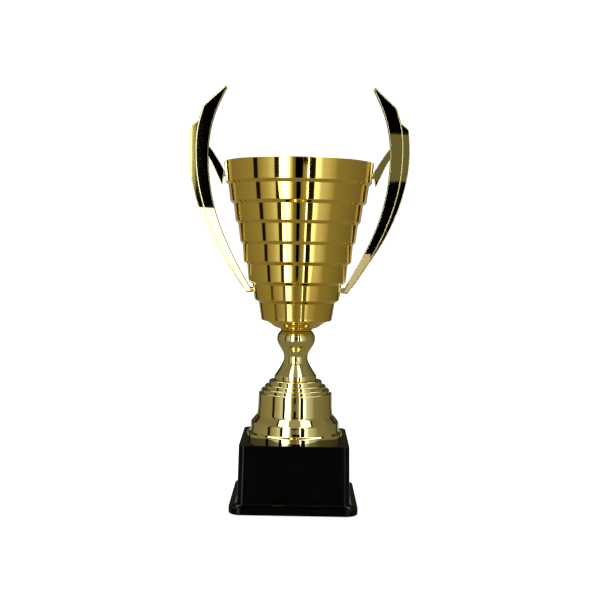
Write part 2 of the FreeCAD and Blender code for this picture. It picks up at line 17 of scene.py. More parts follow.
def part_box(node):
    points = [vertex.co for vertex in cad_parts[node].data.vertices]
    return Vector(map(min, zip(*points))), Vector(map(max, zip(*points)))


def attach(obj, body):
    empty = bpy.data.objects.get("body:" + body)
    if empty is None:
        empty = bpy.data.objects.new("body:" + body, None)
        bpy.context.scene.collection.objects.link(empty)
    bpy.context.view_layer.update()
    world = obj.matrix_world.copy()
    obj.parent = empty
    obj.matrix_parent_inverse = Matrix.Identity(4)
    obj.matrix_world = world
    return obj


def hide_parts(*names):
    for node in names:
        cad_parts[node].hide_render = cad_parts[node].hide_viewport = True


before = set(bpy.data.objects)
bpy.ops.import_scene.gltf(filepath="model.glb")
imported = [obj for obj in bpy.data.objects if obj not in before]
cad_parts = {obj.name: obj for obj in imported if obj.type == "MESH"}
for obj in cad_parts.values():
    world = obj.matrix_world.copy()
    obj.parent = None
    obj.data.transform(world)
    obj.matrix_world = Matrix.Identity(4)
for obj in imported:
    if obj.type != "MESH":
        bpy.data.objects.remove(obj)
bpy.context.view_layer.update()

LOG = logging.getLogger("trophy")
MM = 0.001
BODY = "root"
FULL_TURN = 2.0 * math.pi
RING_COUNT = 288    # steps round a turned piece
BAR_COUNT = 40      # steps round a fixing boss
BAR_HOLD = 0.1      # holding rings this far from a boss's ends, in millimetres
PER_METRE = 1000.0  # from counts per millimetre to counts per metre

Corner = tuple[float, float, float]
Chain = Sequence[Corner]
Point2 = tuple[float, float]
Colour = tuple[float, float, float]
Socket = bpy.types.NodeSocket


# ---- plane outlines ---------------------------------------------------------------------------


def offset_chain(chain: Chain, gap: float) -> list[Corner]:
    """Moves an outline to its left by a gap, each corner along its mitre, arcs kept concentric.

    Args:
        chain: Points as (x, z, corner radius).
        gap: Distance to move, in the chain's own unit.

    Returns:
        The moved points, in the same form.
    """
    points = np.array([(x, z) for x, z, _ in chain], float)
    steps = np.diff(points, axis=0)
    steps /= np.linalg.norm(steps, axis=1)[:, None]
    before = np.vstack([steps[:1], steps])
    after = np.vstack([steps, steps[-1:]])
    normal = np.column_stack([-before[:, 1] - after[:, 1], before[:, 0] + after[:, 0]])
    moved = points + normal * (gap * 2.0 / (normal**2).sum(axis=1))[:, None]
    turn = before[:, 0] * after[:, 1] - before[:, 1] * after[:, 0]
    radii = np.array([r for _, _, r in chain])
    grown = np.where(turn > 0, radii - gap, radii + gap)
    radii = np.where(radii > 0, np.maximum(grown, 0.0), 0.0)
    return [(float(x), float(z), float(r)) for (x, z), r in zip(moved, radii)]


def rounded_outline(chain: Chain, arc_steps: int = 7, hold: float = 0.12) -> np.ndarray:
    """Samples an outline whose corners are arcs, with holding points beside each arc.

    A corner's arc touches both legs at radius / tan(half angle) from the corner, and its points
    turn evenly about the centre, which lies on the corner's bisector.

    Args:
        chain: Points as (x, z, corner radius).
        arc_steps: Segments in each arc.
        hold: Distance of the holding points from each end of a straight stretch.

    Returns:
        An array of (x, z) rows.
    """
    points = np.array([(x, z) for x, z, _ in chain], float)
    out = [points[:1]]
    for i in range(1, len(chain) - 1):
        corner = points[i]
        back = points[i - 1] - corner
        ahead = points[i + 1] - corner
        back_len, ahead_len = np.linalg.norm(back), np.linalg.norm(ahead)
        back, ahead = back / back_len, ahead / ahead_len
        half = 0.5 * math.acos(float(np.clip(back @ ahead, -1, 1)))
        radius = chain[i][2]
        if radius <= 0 or half > math.pi / 2 - 0.01:
            out.append(corner[None])
            continue
        reach = min(radius / math.tan(half), 0.46 * back_len, 0.46 * ahead_len)
        radius = reach * math.tan(half)
        bisector = (back + ahead) / np.linalg.norm(back + ahead)
        centre = corner + bisector * (radius / math.sin(half))
        first = corner + back * reach - centre
        last = corner + ahead * reach - centre
        sweep = math.pi - 2.0 * half
        share = np.linspace(0.0, 1.0, arc_steps + 1)[:, None]
        arc = (np.sin((1 - share) * sweep) * first + np.sin(share * sweep) * last) / math.sin(sweep)
        out.append(centre + arc)
    out.append(points[-1:])
    return hold_straights(np.vstack(out), hold)


def hold_straights(line: np.ndarray, hold: float) -> np.ndarray:
    """Adds a point near each end of every long segment, so that shading stays flat along it.

    Args:
        line: Rows of (x, z).
        hold: Distance of the added points from the segment's ends.

    Returns:
        The line with the points added.
    """
    keep = np.append(np.linalg.norm(np.diff(line, axis=0), axis=1) > 1e-7, True)
    line = line[keep]
    start, step = line[:-1], np.diff(line, axis=0)
    length = np.linalg.norm(step, axis=1)
    share = np.where(length > 6 * hold, hold / length, np.nan)[:, None]
    rows = np.stack([start, start + step * share, start + step * (1 - share)], axis=1).reshape(-1, 2)
    rows = rows[~np.isnan(rows[:, 0])]
    return np.vstack([rows, line[-1:]])


def smooth_line(points: Sequence[Point2], count: int) -> np.ndarray:
    """Natural cubic spline through points, its knots spaced by chord length.

    Args:
        points: Points as (x, z).
        count: Number of samples, evenly spaced in length.

    Returns:
        An array of (x, z) rows.
    """
    p = np.array(points, float)
    knot = np.append(0.0, np.cumsum(np.linalg.norm(np.diff(p, axis=0), axis=1)))
    h = np.diff(knot)
    n = len(p)
    matrix = np.eye(n)
    right = np.zeros((n, 2))
    inner = np.arange(1, n - 1)
    matrix[inner, inner - 1] = h[:-1]
    matrix[inner, inner] = 2 * (h[:-1] + h[1:])
    matrix[inner, inner + 1] = h[1:]
    slope = np.diff(p, axis=0) / h[:, None]
    right[1:-1] = 6 * np.diff(slope, axis=0)
    bend = np.linalg.solve(matrix, right)

    def at(t: np.ndarray) -> np.ndarray:
        """Spline's points at knot values t."""
        k = np.clip(np.searchsorted(knot, t, side="right") - 1, 0, n - 2)
        a = ((knot[k + 1] - t) / h[k])[:, None]
        b = ((t - knot[k]) / h[k])[:, None]
        curl = ((a**3 - a) * bend[k] + (b**3 - b) * bend[k + 1]) * (h[k] ** 2)[:, None] / 6
        return a * p[k] + b * p[k + 1] + curl

    dense = np.linspace(0, knot[-1], 40 * n)
    run = np.append(0.0, np.cumsum(np.linalg.norm(np.diff(at(dense), axis=0), axis=1)))
    return at(np.interp(np.linspace(0, run[-1], count), run, dense))


def lead_line(a: Point2, b: Point2, count: int) -> np.ndarray:
    """Evenly spaced points on the straight line from a to b."""
    return np.array(a) + np.linspace(0, 1, count)[:, None] * (np.array(b) - np.array(a))


# ---- meshes from grids ------------------------------------------------------------------------


def grid_faces(rows: int, columns: int, wrap_rows: bool) -> np.ndarray:
    """Quads of a grid that always closes across its columns.

    Args:
        rows: Number of rings.
        columns: Points in each ring.
        wrap_rows: Whether the last ring joins the first.

    Returns:
        Vertex indices, four to a row.
    """
    r = np.arange(rows if wrap_rows else rows - 1)[:, None]
    c = np.arange(columns)[None, :]
    r2, c2 = (r + 1) % rows, (c + 1) % columns
    corners = [r * columns + c, r * columns + c2, r2 * columns + c2, r2 * columns + c]
    quads = np.stack([np.broadcast_to(x, (r.size, columns)) for x in corners], axis=-1)
    return quads.reshape(-1, 4)


def cap_faces(columns: int, first: int, centre: int, flip: bool) -> np.ndarray:
    """Triangles from one ring to a centre vertex."""
    c = np.arange(columns)
    a, b = first + c, first + (c + 1) % columns
    fan = np.column_stack([b, a, np.full(columns, centre)])
    return fan[:, ::-1] if flip else fan


@dataclass
class Shell:
    """Vertices and faces of one closed surface."""

    vertices: np.ndarray
    faces: list[np.ndarray]

    @classmethod
    def ring_loop(cls, rings: np.ndarray) -> "Shell":
        """Closed both ways: rings of shape (rows, columns, 3), the last joined to the first."""
        rows, columns, _ = rings.shape
        return cls(rings.reshape(-1, 3), [grid_faces(rows, columns, True)])

    @classmethod
    def capped(cls, rings: np.ndarray) -> "Shell":
        """Rings of shape (rows, columns, 3) closed by a fan of triangles at each end."""
        rows, columns, _ = rings.shape
        ends = np.stack([rings[0].mean(axis=0), rings[-1].mean(axis=0)])
        vertices = np.vstack([rings.reshape(-1, 3), ends])
        last = (rows - 1) * columns
        return cls(vertices, [
            grid_faces(rows, columns, False),
            cap_faces(columns, 0, rows * columns, False),
            cap_faces(columns, last, rows * columns + 1, True),
        ])

    def volume(self) -> float:
        """Signed volume: the sum of a sixth of each triangle's triple product."""
        total = 0.0
        for block in self.faces:
            for k in range(1, block.shape[1] - 1):
                a, b, c = (self.vertices[block[:, j]] for j in (0, k, k + 1))
                total += float(np.einsum("ij,ij->i", a, np.cross(b, c)).sum()) / 6
        return total

    def outward(self) -> "Shell":
        """The same shell with its faces pointing outwards."""
        if self.volume() < 0:
            return Shell(self.vertices, [block[:, ::-1] for block in self.faces])
        return self


def mesh_piece(name: str, shells: Sequence[Shell], sharp_deg: float = 40.0) -> bpy.types.Object:
    """One object of several closed shells, smooth but for edges sharper than an angle.

    Args:
        name: Name of the piece.
        shells: Its closed surfaces, in metres.
        sharp_deg: Edges that turn more than this stay sharp.

    Returns:
        The linked object, at the origin.
    """
    vertices, faces, count = [], [], 0
    for shell in (s.outward() for s in shells):
        vertices.append(shell.vertices)
        for block in shell.faces:
            faces.extend((block + count).tolist())
        count += len(shell.vertices)
    mesh = bpy.data.meshes.new(name)
    mesh.from_pydata(np.vstack(vertices).tolist(), [], faces)
    mesh.update()
    mesh.polygons.foreach_set("use_smooth", np.ones(len(mesh.polygons), bool))
    mesh.set_sharp_from_angle(angle=math.radians(sharp_deg))
    piece = bpy.data.objects.new(name, mesh)
    bpy.context.scene.collection.objects.link(piece)
    return piece


def spun(outline: np.ndarray, count: int = RING_COUNT) -> Shell:
    """Carries a closed (radius, height) outline round the Z axis: x = r cos a, y = r sin a.

    Args:
        outline: Rows of (radius, height) in millimetres, the last joined to the first.
        count: Steps round the axis.

    Returns:
        A shell closed both ways, in metres.
    """
    angle = np.linspace(0, FULL_TURN, count, endpoint=False)
    r, z = outline[:, :1] * MM, np.broadcast_to(outline[:, 1:] * MM, (len(outline), count))
    return Shell.ring_loop(np.stack([r * np.cos(angle), r * np.sin(angle), z], axis=-1))


def square_path(corner_steps: int = 14) -> np.ndarray:
    """Unit path of a rounded square: each row is (centre x, centre y, normal x, normal y).

    A point is centre * (half width - corner radius) + normal * corner radius. Along a side the
    centre slides from one corner's centre to the next while the normal stays square to the side.

    Args:
        corner_steps: Segments in each quarter circle.

    Returns:
        The rows, anticlockwise.
    """
    turn = np.linspace(0, math.pi / 2, corner_steps + 1)
    normals = np.column_stack([np.cos(turn), np.sin(turn)])
    slide = np.array([-0.99, -0.6, 0.0, 0.6, 0.99])
    side = np.column_stack([np.ones(slide.size), slide, np.ones(slide.size), np.zeros(slide.size)])
    corner = np.column_stack([np.ones((corner_steps + 1, 2)), normals])
    quarter = np.vstack([side, corner])
    path = []
    for k in range(4):
        c, s = round(math.cos(k * math.pi / 2)), round(math.sin(k * math.pi / 2))
        spin = np.array([[c, s], [-s, c]])
        path.append(np.hstack([quarter[:, :2] @ spin, quarter[:, 2:] @ spin]))
    return np.vstack(path)


def squared(stations: np.ndarray) -> np.ndarray:
    """Rings of rounded squares.

    Args:
        stations: Rows of (half width, corner radius, height) in millimetres.

    Returns:
        Rings of shape (rows, columns, 3), in metres.
    """
    path = square_path()
    half, corner, z = (stations[:, k][:, None, None] for k in range(3))
    flat = path[None, :, :2] * (half - corner) + path[None, :, 2:] * corner
    return np.concatenate([flat, np.broadcast_to(z, (*flat.shape[:2], 1))], axis=-1) * MM


def turned_half_round(shell: Shell) -> Shell:
    """The same shell turned half round the Z axis."""
    return Shell(shell.vertices * np.array([-1.0, -1.0, 1.0]), shell.faces)


def bar_along_x(x0: float, x1: float, z: float, radius: float) -> Shell:
    """Round bar along X at height z, in millimetres, returned in metres."""
    angle = np.linspace(0, FULL_TURN, BAR_COUNT, endpoint=False)
    ring = np.stack([0 * angle, radius * np.cos(angle), z + radius * np.sin(angle)], axis=-1)
    stations = np.array([x0, x0 + BAR_HOLD, x1 - BAR_HOLD, x1])
    rings = ring[None] + np.stack([stations, 0 * stations, 0 * stations], axis=-1)[:, None, :]
    return Shell.capped(rings * MM)


# ---- shader graphs ----------------------------------------------------------------------------


@dataclass
class Graph:
    """Short ways to add and join nodes in one node tree."""

    tree: bpy.types.NodeTree

    def add(self, kind: str, **settings: object) -> bpy.types.Node:
        """Adds a node.

        Args:
            kind: The node's type name.
            **settings: Properties to set on it.

        Returns:
            The node.
        """
        node = self.tree.nodes.new(kind)
        for name, value in settings.items():
            setattr(node, name, value)
        return node

    def feed(self, socket: Socket, value: object) -> None:
        """Sets a socket to a number or colour, or links another socket to it."""
        if isinstance(value, Socket):
            self.tree.links.new(value, socket)
        else:
            socket.default_value = value

    def feed_all(self, node: bpy.types.Node, **values: object) -> None:
        """Feeds a node's inputs by name, with underscores for spaces."""
        for key, value in values.items():
            self.feed(node.inputs[key.replace("_", " ")], value)

    def place(self) -> Socket:
        """Object coordinates."""
        return self.add("ShaderNodeTexCoord").outputs["Object"]

    def math(self, operation: str, *values: object, clamp: bool = False) -> Socket:
        """A Math node on the given numbers or sockets."""
        node = self.add("ShaderNodeMath", operation=operation, use_clamp=clamp)
        for k, value in enumerate(values):
            self.feed(node.inputs[k], value)
        return node.outputs[0]

    def mixed(self, share: object, a: object, b: object) -> Socket:
        """Number a where the share is 0 and b where it is 1."""
        rest = self.math("MULTIPLY", self.math("SUBTRACT", 1.0, share), a)
        return self.math("ADD", self.math("MULTIPLY", share, b), rest)

    def between(self, value: object, low: float, high: float) -> Socket:
        """1 where a value lies between two limits, and 0 elsewhere."""
        over = self.math("GREATER_THAN", value, low)
        return self.math("MULTIPLY", over, self.math("LESS_THAN", value, high))

    def noise(self, vector: Socket, scale: object, detail: float = 2.0) -> Socket:
        """Value of a Noise texture."""
        node = self.add("ShaderNodeTexNoise")
        self.feed_all(node, Vector=vector, Scale=scale, Detail=detail)
        return node.outputs["Fac"]

    def stretched(self, vector: Socket, scale: Sequence[float]) -> Socket:
        """A Mapping node that only scales."""
        node = self.add("ShaderNodeMapping")
        self.feed_all(node, Vector=vector, Scale=tuple(scale))
        return node.outputs[0]

    def ranged(self, value: object, low: float, high: float, *to: float) -> Socket:
        """Carries a value from one range to another, by default 0 to 1, clamped."""
        node = self.add("ShaderNodeMapRange")
        for k, item in enumerate((value, low, high, *(to or (0.0, 1.0)))):
            self.feed(node.inputs[k], item)
        return node.outputs[0]

    def blend(self, share: object, a: object, b: object) -> Socket:
        """Mixes two colours."""
        node = self.add("ShaderNodeMix", data_type="RGBA")
        self.feed(node.inputs[0], share)
        self.feed(node.inputs[6], a)
        self.feed(node.inputs[7], b)
        return node.outputs[2]


def new_group(name: str, inputs: dict[str, float], outputs: dict[str, str]) -> bpy.types.NodeTree:
    """An empty shader group with number inputs.

    Args:
        name: The group's name.
        inputs: Input names and default values.
        outputs: Output names and socket types.

    Returns:
        The node tree, with its Group Input and Group Output nodes.
    """
    tree = bpy.data.node_groups.new(name, "ShaderNodeTree")
    for key, value in inputs.items():
        socket = tree.interface.new_socket(key, in_out="INPUT", socket_type="NodeSocketFloat")
        socket.default_value = value
    for key, kind in outputs.items():
        tree.interface.new_socket(key, in_out="OUTPUT", socket_type=kind)
    tree.nodes.new("NodeGroupInput")
    tree.nodes.new("NodeGroupOutput")
    return tree


def group_ends(tree: bpy.types.NodeTree) -> tuple[bpy.types.Node, bpy.types.Node]:
    """A group's input and output nodes."""
    return tree.nodes["Group Input"], tree.nodes["Group Output"]


def turning_marks() -> bpy.types.NodeTree:
    """Fine lines left round a turned or spun piece.

    Height is noise squeezed along Z, so that it runs round the axis in lines, with a second noise
    that varies slowly round the axis and breaks straight reflections into short steps.
    """
    tree = new_group(
        "turning_marks",
        {"Lines per mm": 1.4, "Waver per mm": 0.2},
        {"Height": "NodeSocketFloat", "Line": "NodeSocketFloat"},
    )
    g = Graph(tree)
    source, result = group_ends(tree)
    split = g.add("ShaderNodeSeparateXYZ")
    g.feed(split.inputs[0], g.place())

    def squeezed(across: object, along: object) -> Socket:
        """Object coordinates scaled across and along the axis."""
        join = g.add("ShaderNodeCombineXYZ")
        for k, scale in enumerate((across, across, along)):
            g.feed(join.inputs[k], g.math("MULTIPLY", split.outputs[k], scale))
        return join.outputs[0]

    along = g.math("MULTIPLY", source.outputs["Lines per mm"], PER_METRE)
    across = g.math("MULTIPLY", source.outputs["Waver per mm"], PER_METRE)
    round_the_axis, waver_squeeze = 12.0, 0.6
    line_share, waver_share = 0.35, 0.65
    line = g.noise(squeezed(round_the_axis, along), 1.0, 2.0)
    waver = g.noise(squeezed(across, g.math("MULTIPLY", along, waver_squeeze)), 1.0, 1.0)
    height = g.math("ADD", g.math("MULTIPLY", line, line_share), g.math("MULTIPLY", waver, waver_share))
    g.feed(result.inputs["Height"], height)
    g.feed(result.inputs["Line"], line)
    return tree


def handling_dust() -> bpy.types.NodeTree:
    """Faint smears and specks: a wide noise times a fine one, and thresholded fine noise."""
    tree = new_group(
        "handling_dust",
        {"Smear": 0.5, "Speck": 0.2},
        {"Mask": "NodeSocketFloat"},
    )
    g = Graph(tree)
    source, result = group_ends(tree)
    place = g.place()
    smear_scale, grain_scale, speck_scale = 38.0, 900.0, 1600.0
    wide = g.ranged(g.noise(place, smear_scale, 3.0), 0.45, 0.75)
    fine = g.noise(place, grain_scale, 2.0)
    speck = g.ranged(g.noise(place, speck_scale, 1.0), 0.74, 0.8)
    smear = g.math("MULTIPLY", g.math("MULTIPLY", wide, fine), source.outputs["Smear"])
    mask = g.math("ADD", smear, g.math("MULTIPLY", speck, source.outputs["Speck"]), clamp=True)
    g.feed(result.inputs["Mask"], mask)
    return tree


def moulded_skin() -> bpy.types.NodeTree:
    """Slight orange-peel of a plated or moulded surface: two noises added, the finer one smaller."""
    tree = new_group("moulded_skin", {"Waves per mm": 0.25}, {"Height": "NodeSocketFloat"})
    g = Graph(tree)
    source, result = group_ends(tree)
    place = g.place()
    scale = g.math("MULTIPLY", source.outputs["Waves per mm"], PER_METRE)
    fine_scale, fine_share = 4.3, 0.12
    coarse = g.noise(place, scale, 1.0)
    fine = g.noise(place, g.math("MULTIPLY", scale, fine_scale), 1.0)
    g.feed(result.inputs["Height"], g.math("ADD", coarse, g.math("MULTIPLY", fine, fine_share)))
    return tree


@dataclass
class Groups:
    """The shared shader groups, each built once."""

    marks: bpy.types.NodeTree = field(default_factory=turning_marks)
    dust: bpy.types.NodeTree = field(default_factory=handling_dust)
    skin: bpy.types.NodeTree = field(default_factory=moulded_skin)


def place_group(g: Graph, tree: bpy.types.NodeTree, **values: float) -> bpy.types.Node:
    """Places a shared group in a material.

    Args:
        g: The material's graph.
        tree: The group.
        **values: Inputs by name, with underscores for spaces.

    Returns:
        The group node.
    """
    node = g.add("ShaderNodeGroup", node_tree=tree)
    g.feed_all(node, **values)
    return node


def fresh_material(name: str) -> tuple[bpy.types.Material, Graph, bpy.types.Node]:
    """A new node material with its Principled shader."""
    material = bpy.data.materials.new(name)
    material.use_nodes = True
    return material, Graph(material.node_tree), material.node_tree.nodes["Principled BSDF"]


def bump(g: Graph, height: Socket, distance_mm: float) -> Socket:
    """Normal of a Bump node whose height of 1 stands for a distance in millimetres."""
    node = g.add("ShaderNodeBump")
    g.feed_all(node, Strength=1.0, Distance=distance_mm * MM, Height=height)
    return node.outputs["Normal"]


def dulled(g: Graph, dust: bpy.types.Node, roughness: float, spread: float) -> Socket:
    """Roughness that rises by a spread where the dust mask is 1."""
    return g.math("MULTIPLY_ADD", dust.outputs["Mask"], spread, roughness)


# ---- finishes ---------------------------------------------------------------------------------


@dataclass(frozen=True)
class Finish:
    """A named material and its colour. Each kind of finish feeds its own nodes to the shader."""

    name: str
    colour: Colour

    def shade(self, factor: float = 1.0, lift: float = 0.0) -> tuple[float, ...]:
        """The colour times a factor, lifted by an amount, with full alpha."""
        return (*(factor * c + lift for c in self.colour), 1.0)

    def feed(self, g: Graph, shader: bpy.types.Node, groups: Groups) -> None:
        """Feeds the shader with this finish's nodes."""
        raise NotImplementedError

    def build(self, groups: Groups) -> bpy.types.Material:
        """Makes the material.

        Args:
            groups: The shared shader groups.

        Returns:
            The material.
        """
        material, g, shader = fresh_material(self.name)
        self.feed(g, shader, groups)
        return material


@dataclass(frozen=True)
class TurnedMetal(Finish):
    """Polished metal with fine turning marks, such as the spun cup."""

    deep_colour: Colour
    roughness: float = 0.045
    roughness_spread: float = 0.04
    mark_depth_mm: float = 0.003
    lines_per_mm: float = 1.4
    waver_per_mm: float = 0.22

    def feed(self, g: Graph, shader: bpy.types.Node, groups: Groups) -> None:
        """Turning marks tint and raise the surface, and dust dulls it."""
        marks = place_group(
            g, groups.marks, Lines_per_mm=self.lines_per_mm, Waver_per_mm=self.waver_per_mm
        )
        dust = place_group(g, groups.dust, Smear=0.5, Speck=0.15)
        tone = g.ranged(marks.outputs["Line"], 0.35, 0.7)
        g.feed_all(
            shader,
            Base_Color=g.blend(tone, (*self.deep_colour, 1), self.shade()),
            Metallic=1.0,
            Roughness=dulled(g, dust, self.roughness, self.roughness_spread),
            Normal=bump(g, marks.outputs["Height"], self.mark_depth_mm),
        )


@dataclass(frozen=True)
class PlatedPlastic(Finish):
    """Vacuum-metallised plastic: a mirror with a faint orange-peel skin."""

    roughness: float = 0.025
    roughness_spread: float = 0.03
    skin_depth_mm: float = 0.0013
    waves_per_mm: float = 0.3

    def feed(self, g: Graph, shader: bpy.types.Node, groups: Groups) -> None:
        """The skin raises the surface, and dust darkens and dulls it."""
        skin = place_group(g, groups.skin, Waves_per_mm=self.waves_per_mm)
        dust = place_group(g, groups.dust, Smear=0.4, Speck=0.1)
        g.feed_all(
            shader,
            Base_Color=g.blend(dust.outputs["Mask"], self.shade(), self.shade(0.93)),
            Metallic=1.0,
            Roughness=dulled(g, dust, self.roughness, self.roughness_spread),
            Normal=bump(g, skin.outputs["Height"], self.skin_depth_mm),
        )


@dataclass(frozen=True)
class MouldedPlastic(Finish):
    """Plain moulded plastic or fibre, from glossy to matt."""

    roughness: float
    roughness_spread: float
    skin_depth_mm: float
    waves_per_mm: float
    specular: float = 0.5

    def feed(self, g: Graph, shader: bpy.types.Node, groups: Groups) -> None:
        """The skin raises the surface, and dust makes it paler and duller."""
        skin = place_group(g, groups.skin, Waves_per_mm=self.waves_per_mm)
        dust = place_group(g, groups.dust, Smear=0.6, Speck=0.25)
        g.feed_all(
            shader,
            Base_Color=g.blend(dust.outputs["Mask"], self.shade(), self.shade(1.35, 0.002)),
            Roughness=dulled(g, dust, self.roughness, self.roughness_spread),
            Specular_IOR_Level=self.specular,
            Normal=bump(g, skin.outputs["Height"], self.skin_depth_mm),
        )


@dataclass(frozen=True)
class PlatedSteel(Finish):
    """Zinc-plated fastener steel with a fine crystalline mottling."""

    roughness: float = 0.26
    roughness_spread: float = 0.2
    grain_depth_mm: float = 0.01

    def feed(self, g: Graph, shader: bpy.types.Node, groups: Groups) -> None:
        """A fine grain mottles and raises the surface, and dust dulls it."""
        grain = g.noise(g.place(), 1400.0, 3.0)
        dust = place_group(g, groups.dust, Smear=0.8, Speck=0.3)
        g.feed_all(
            shader,
            Base_Color=g.blend(grain, self.shade(0.72), self.shade()),
            Metallic=1.0,
            Roughness=dulled(g, dust, self.roughness, self.roughness_spread),
            Normal=bump(g, grain, self.grain_depth_mm),
        )


@dataclass(frozen=True)
class CastStone(Finish):
    """Rough cast weight: speckled aggregate with small pits."""

    pit_depth_mm: float = 0.4

    def feed(self, g: Graph, shader: bpy.types.Node, groups: Groups) -> None:
        """Grit sets colour and roughness, and pits are taken off its height."""
        place = g.place()
        grit = g.noise(place, 420.0, 6.0)
        pits = g.ranged(g.noise(place, 190.0, 2.0), 0.62, 0.7)
        g.feed_all(
            shader,
            Base_Color=g.blend(grit, self.shade(0.6), self.shade()),
            Roughness=g.ranged(grit, 0.3, 0.7, 0.75, 0.95),
            Normal=bump(g, g.math("SUBTRACT", grit, pits), self.pit_depth_mm),
        )


@dataclass(frozen=True)
class PressedFelt(Finish):
    """Dark felt with a soft sheen."""

    sheen: float = 0.35
    fibre_depth_mm: float = 0.25

    def feed(self, g: Graph, shader: bpy.types.Node, groups: Groups) -> None:
        """Two noises stretched across each other make the fibres, the paler ones as lint."""
        place = g.place()
        one = g.noise(g.stretched(place, (2600, 420, 900)), 1.0, 4.0)
        two = g.noise(g.stretched(place, (380, 2400, 900)), 1.0, 4.0)
        fibre = g.math("MAXIMUM", one, two)
        share = g.ranged(fibre, 0.5, 0.8, 0.0, 0.8)
        g.feed_all(
            shader,
            Base_Color=g.blend(share, self.shade(), self.shade(2.6, 0.01)),
            Roughness=g.ranged(fibre, 0.3, 0.8, 0.98, 0.85),
            Sheen_Weight=self.sheen,
            Normal=bump(g, fibre, self.fibre_depth_mm),
        )


class Slot(Enum):
    """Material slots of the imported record, each with its finish."""

    CUP = "cup_metal"
    COLUMN = "gold_plastic"
    PLINTH = "black_plastic"
    BOARD = "plate_plastic"
    FIBRE = "fibre"
    STEEL = "zinc_steel"
    WEIGHT = "cast_weight"
    FELT = "felt"


FINISHES = {
    Slot.CUP: TurnedMetal("spun_gold_metal", (0.93, 0.655, 0.15), (0.9, 0.60, 0.125)),
    Slot.COLUMN: PlatedPlastic("plated_gold_plastic", (0.82, 0.67, 0.285)),
    Slot.PLINTH: MouldedPlastic(
        "black_gloss_moulding", (0.0003, 0.0003, 0.0004), 0.03, 0.05, 0.0006, 0.12, specular=0.1
    ),
    Slot.BOARD: MouldedPlastic("black_board", (0.03, 0.03, 0.031), 0.6, 0.2, 0.02, 0.9),
    Slot.FIBRE: MouldedPlastic("dark_fibre", (0.035, 0.022, 0.012), 0.7, 0.2, 0.02, 2.0),
    Slot.STEEL: PlatedSteel("zinc_plated_steel", (0.62, 0.63, 0.62)),
    Slot.WEIGHT: CastStone("cast_weight_stone", (0.36, 0.35, 0.33)),
    Slot.FELT: PressedFelt("pressed_black_felt", (0.012, 0.013, 0.012)),
}


@dataclass
class Wardrobe:
    """Builds each finish once and dresses pieces in it."""

    groups: Groups = field(default_factory=Groups)
    made: dict[Slot, bpy.types.Material] = field(default_factory=dict)

    def material(self, slot: Slot) -> bpy.types.Material:
        """The slot's material, built when it is first asked for."""
        if slot not in self.made:
            self.made[slot] = FINISHES[slot].build(self.groups)
        return self.made[slot]

    def dress(self, piece: bpy.types.Object, slot: Slot) -> None:
        """Gives a piece one material."""
        piece.data.materials.clear()
        piece.data.materials.append(self.material(slot))

    def hand_over(self, piece: bpy.types.Object, slot: Slot, *nodes: str) -> bpy.types.Object:
        """Dresses a new piece, makes it ride the trophy's body and stand for CAD nodes.

        Args:
            piece: The piece.
            slot: Its finish.
            *nodes: The CAD nodes that it stands for.

        Returns:
            The piece.
        """
        self.dress(piece, slot)
        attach(piece, BODY)
        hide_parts(*nodes)
        LOG.info("%s: %d faces, for %s", piece.name, len(piece.data.polygons), ", ".join(nodes))
        return piece


# ---- sub-assemblies ---------------------------------------------------------------------------


@dataclass
class Plinth:
    """Black hollow plinth with a cove, a wider foot and rounded corners. Sizes in millimetres."""

    body_half_top: float = 50.2
    body_half_low: float = 51.1
    body_corner: float = 5.5
    foot_corner: float = 11.5
    foot_top: float = 7.2
    cove_top: float = 11.6
    wall: float = 3.0
    roof: float = 4.0
    cavity_corner: float = 3.0
    recess_depth: float = 2.4
    recess_half: float = 54.2
    recess_corner: float = 8.2
    hole: float = 3.3
    sole: float = 6.0
    foot_low_round: float = 1.2
    foot_top_round: float = 1.1
    top_round: float = 0.55
    cove_inset: float = 0.8
    cove_steps: int = 12
    roof_margin: float = 0.6

    def outline(self) -> np.ndarray:
        """Closed run of (half width, corner radius, height): up the outside, in over the roof,
        down the hole and back down the inside to the recess."""
        low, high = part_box("plinth")
        foot = high.x / MM
        bottom, top = low.z / MM, high.z / MM
        turn = np.linspace(0, math.pi / 2, self.cove_steps + 1)
        reach = foot - self.cove_inset - self.body_half_low
        cove_half = self.body_half_low + reach * (1 - np.sin(turn))
        cove_z = self.foot_top + (self.cove_top - self.foot_top) * (1 - np.cos(turn))
        cove = [(float(h), float(z), 0.0) for h, z in zip(cove_half[1:], cove_z[1:])]
        chain = [
            (foot - self.sole, bottom, 0.0),
            (foot, bottom, self.foot_low_round),
            (foot, self.foot_top, self.foot_top_round),
            *cove,
            (self.body_half_top, top, self.top_round),
            (self.hole + 1.0, top, 0.0),
        ]
        outside = rounded_outline(chain, arc_steps=5)
        share = np.clip((outside[:, 0] - self.body_half_low) / (foot - self.body_half_low), 0, 1)
        corner = self.body_corner + (self.foot_corner - self.body_corner) * share
        on_roof = outside[:, 0] < self.body_half_top - self.roof_margin
        corner = np.where(on_roof, np.minimum(corner, outside[:, 0]), corner)
        rings = np.column_stack([outside[:, 0], corner, outside[:, 1]])
        rings[-1, 1] = rings[-1, 0]
        under = top - self.roof
        plate_z = bottom + self.recess_depth
        inner = self.body_half_low - self.wall
        inside = np.array([
            (self.hole, self.hole, top - 0.5),
            (self.hole, self.hole, under),
            (self.body_half_top - self.wall, self.cavity_corner, under),
            (inner, self.cavity_corner, plate_z),
            (self.recess_half, self.recess_corner, plate_z),
            (self.recess_half, self.recess_corner, bottom),
        ])
        return np.vstack([rings, inside])

    def build(self, wardrobe: Wardrobe) -> None:
        """Makes the plinth."""
        piece = mesh_piece("plinth_moulding", [Shell.ring_loop(squared(self.outline()))], 30)
        wardrobe.hand_over(piece, Slot.PLINTH, "plinth")


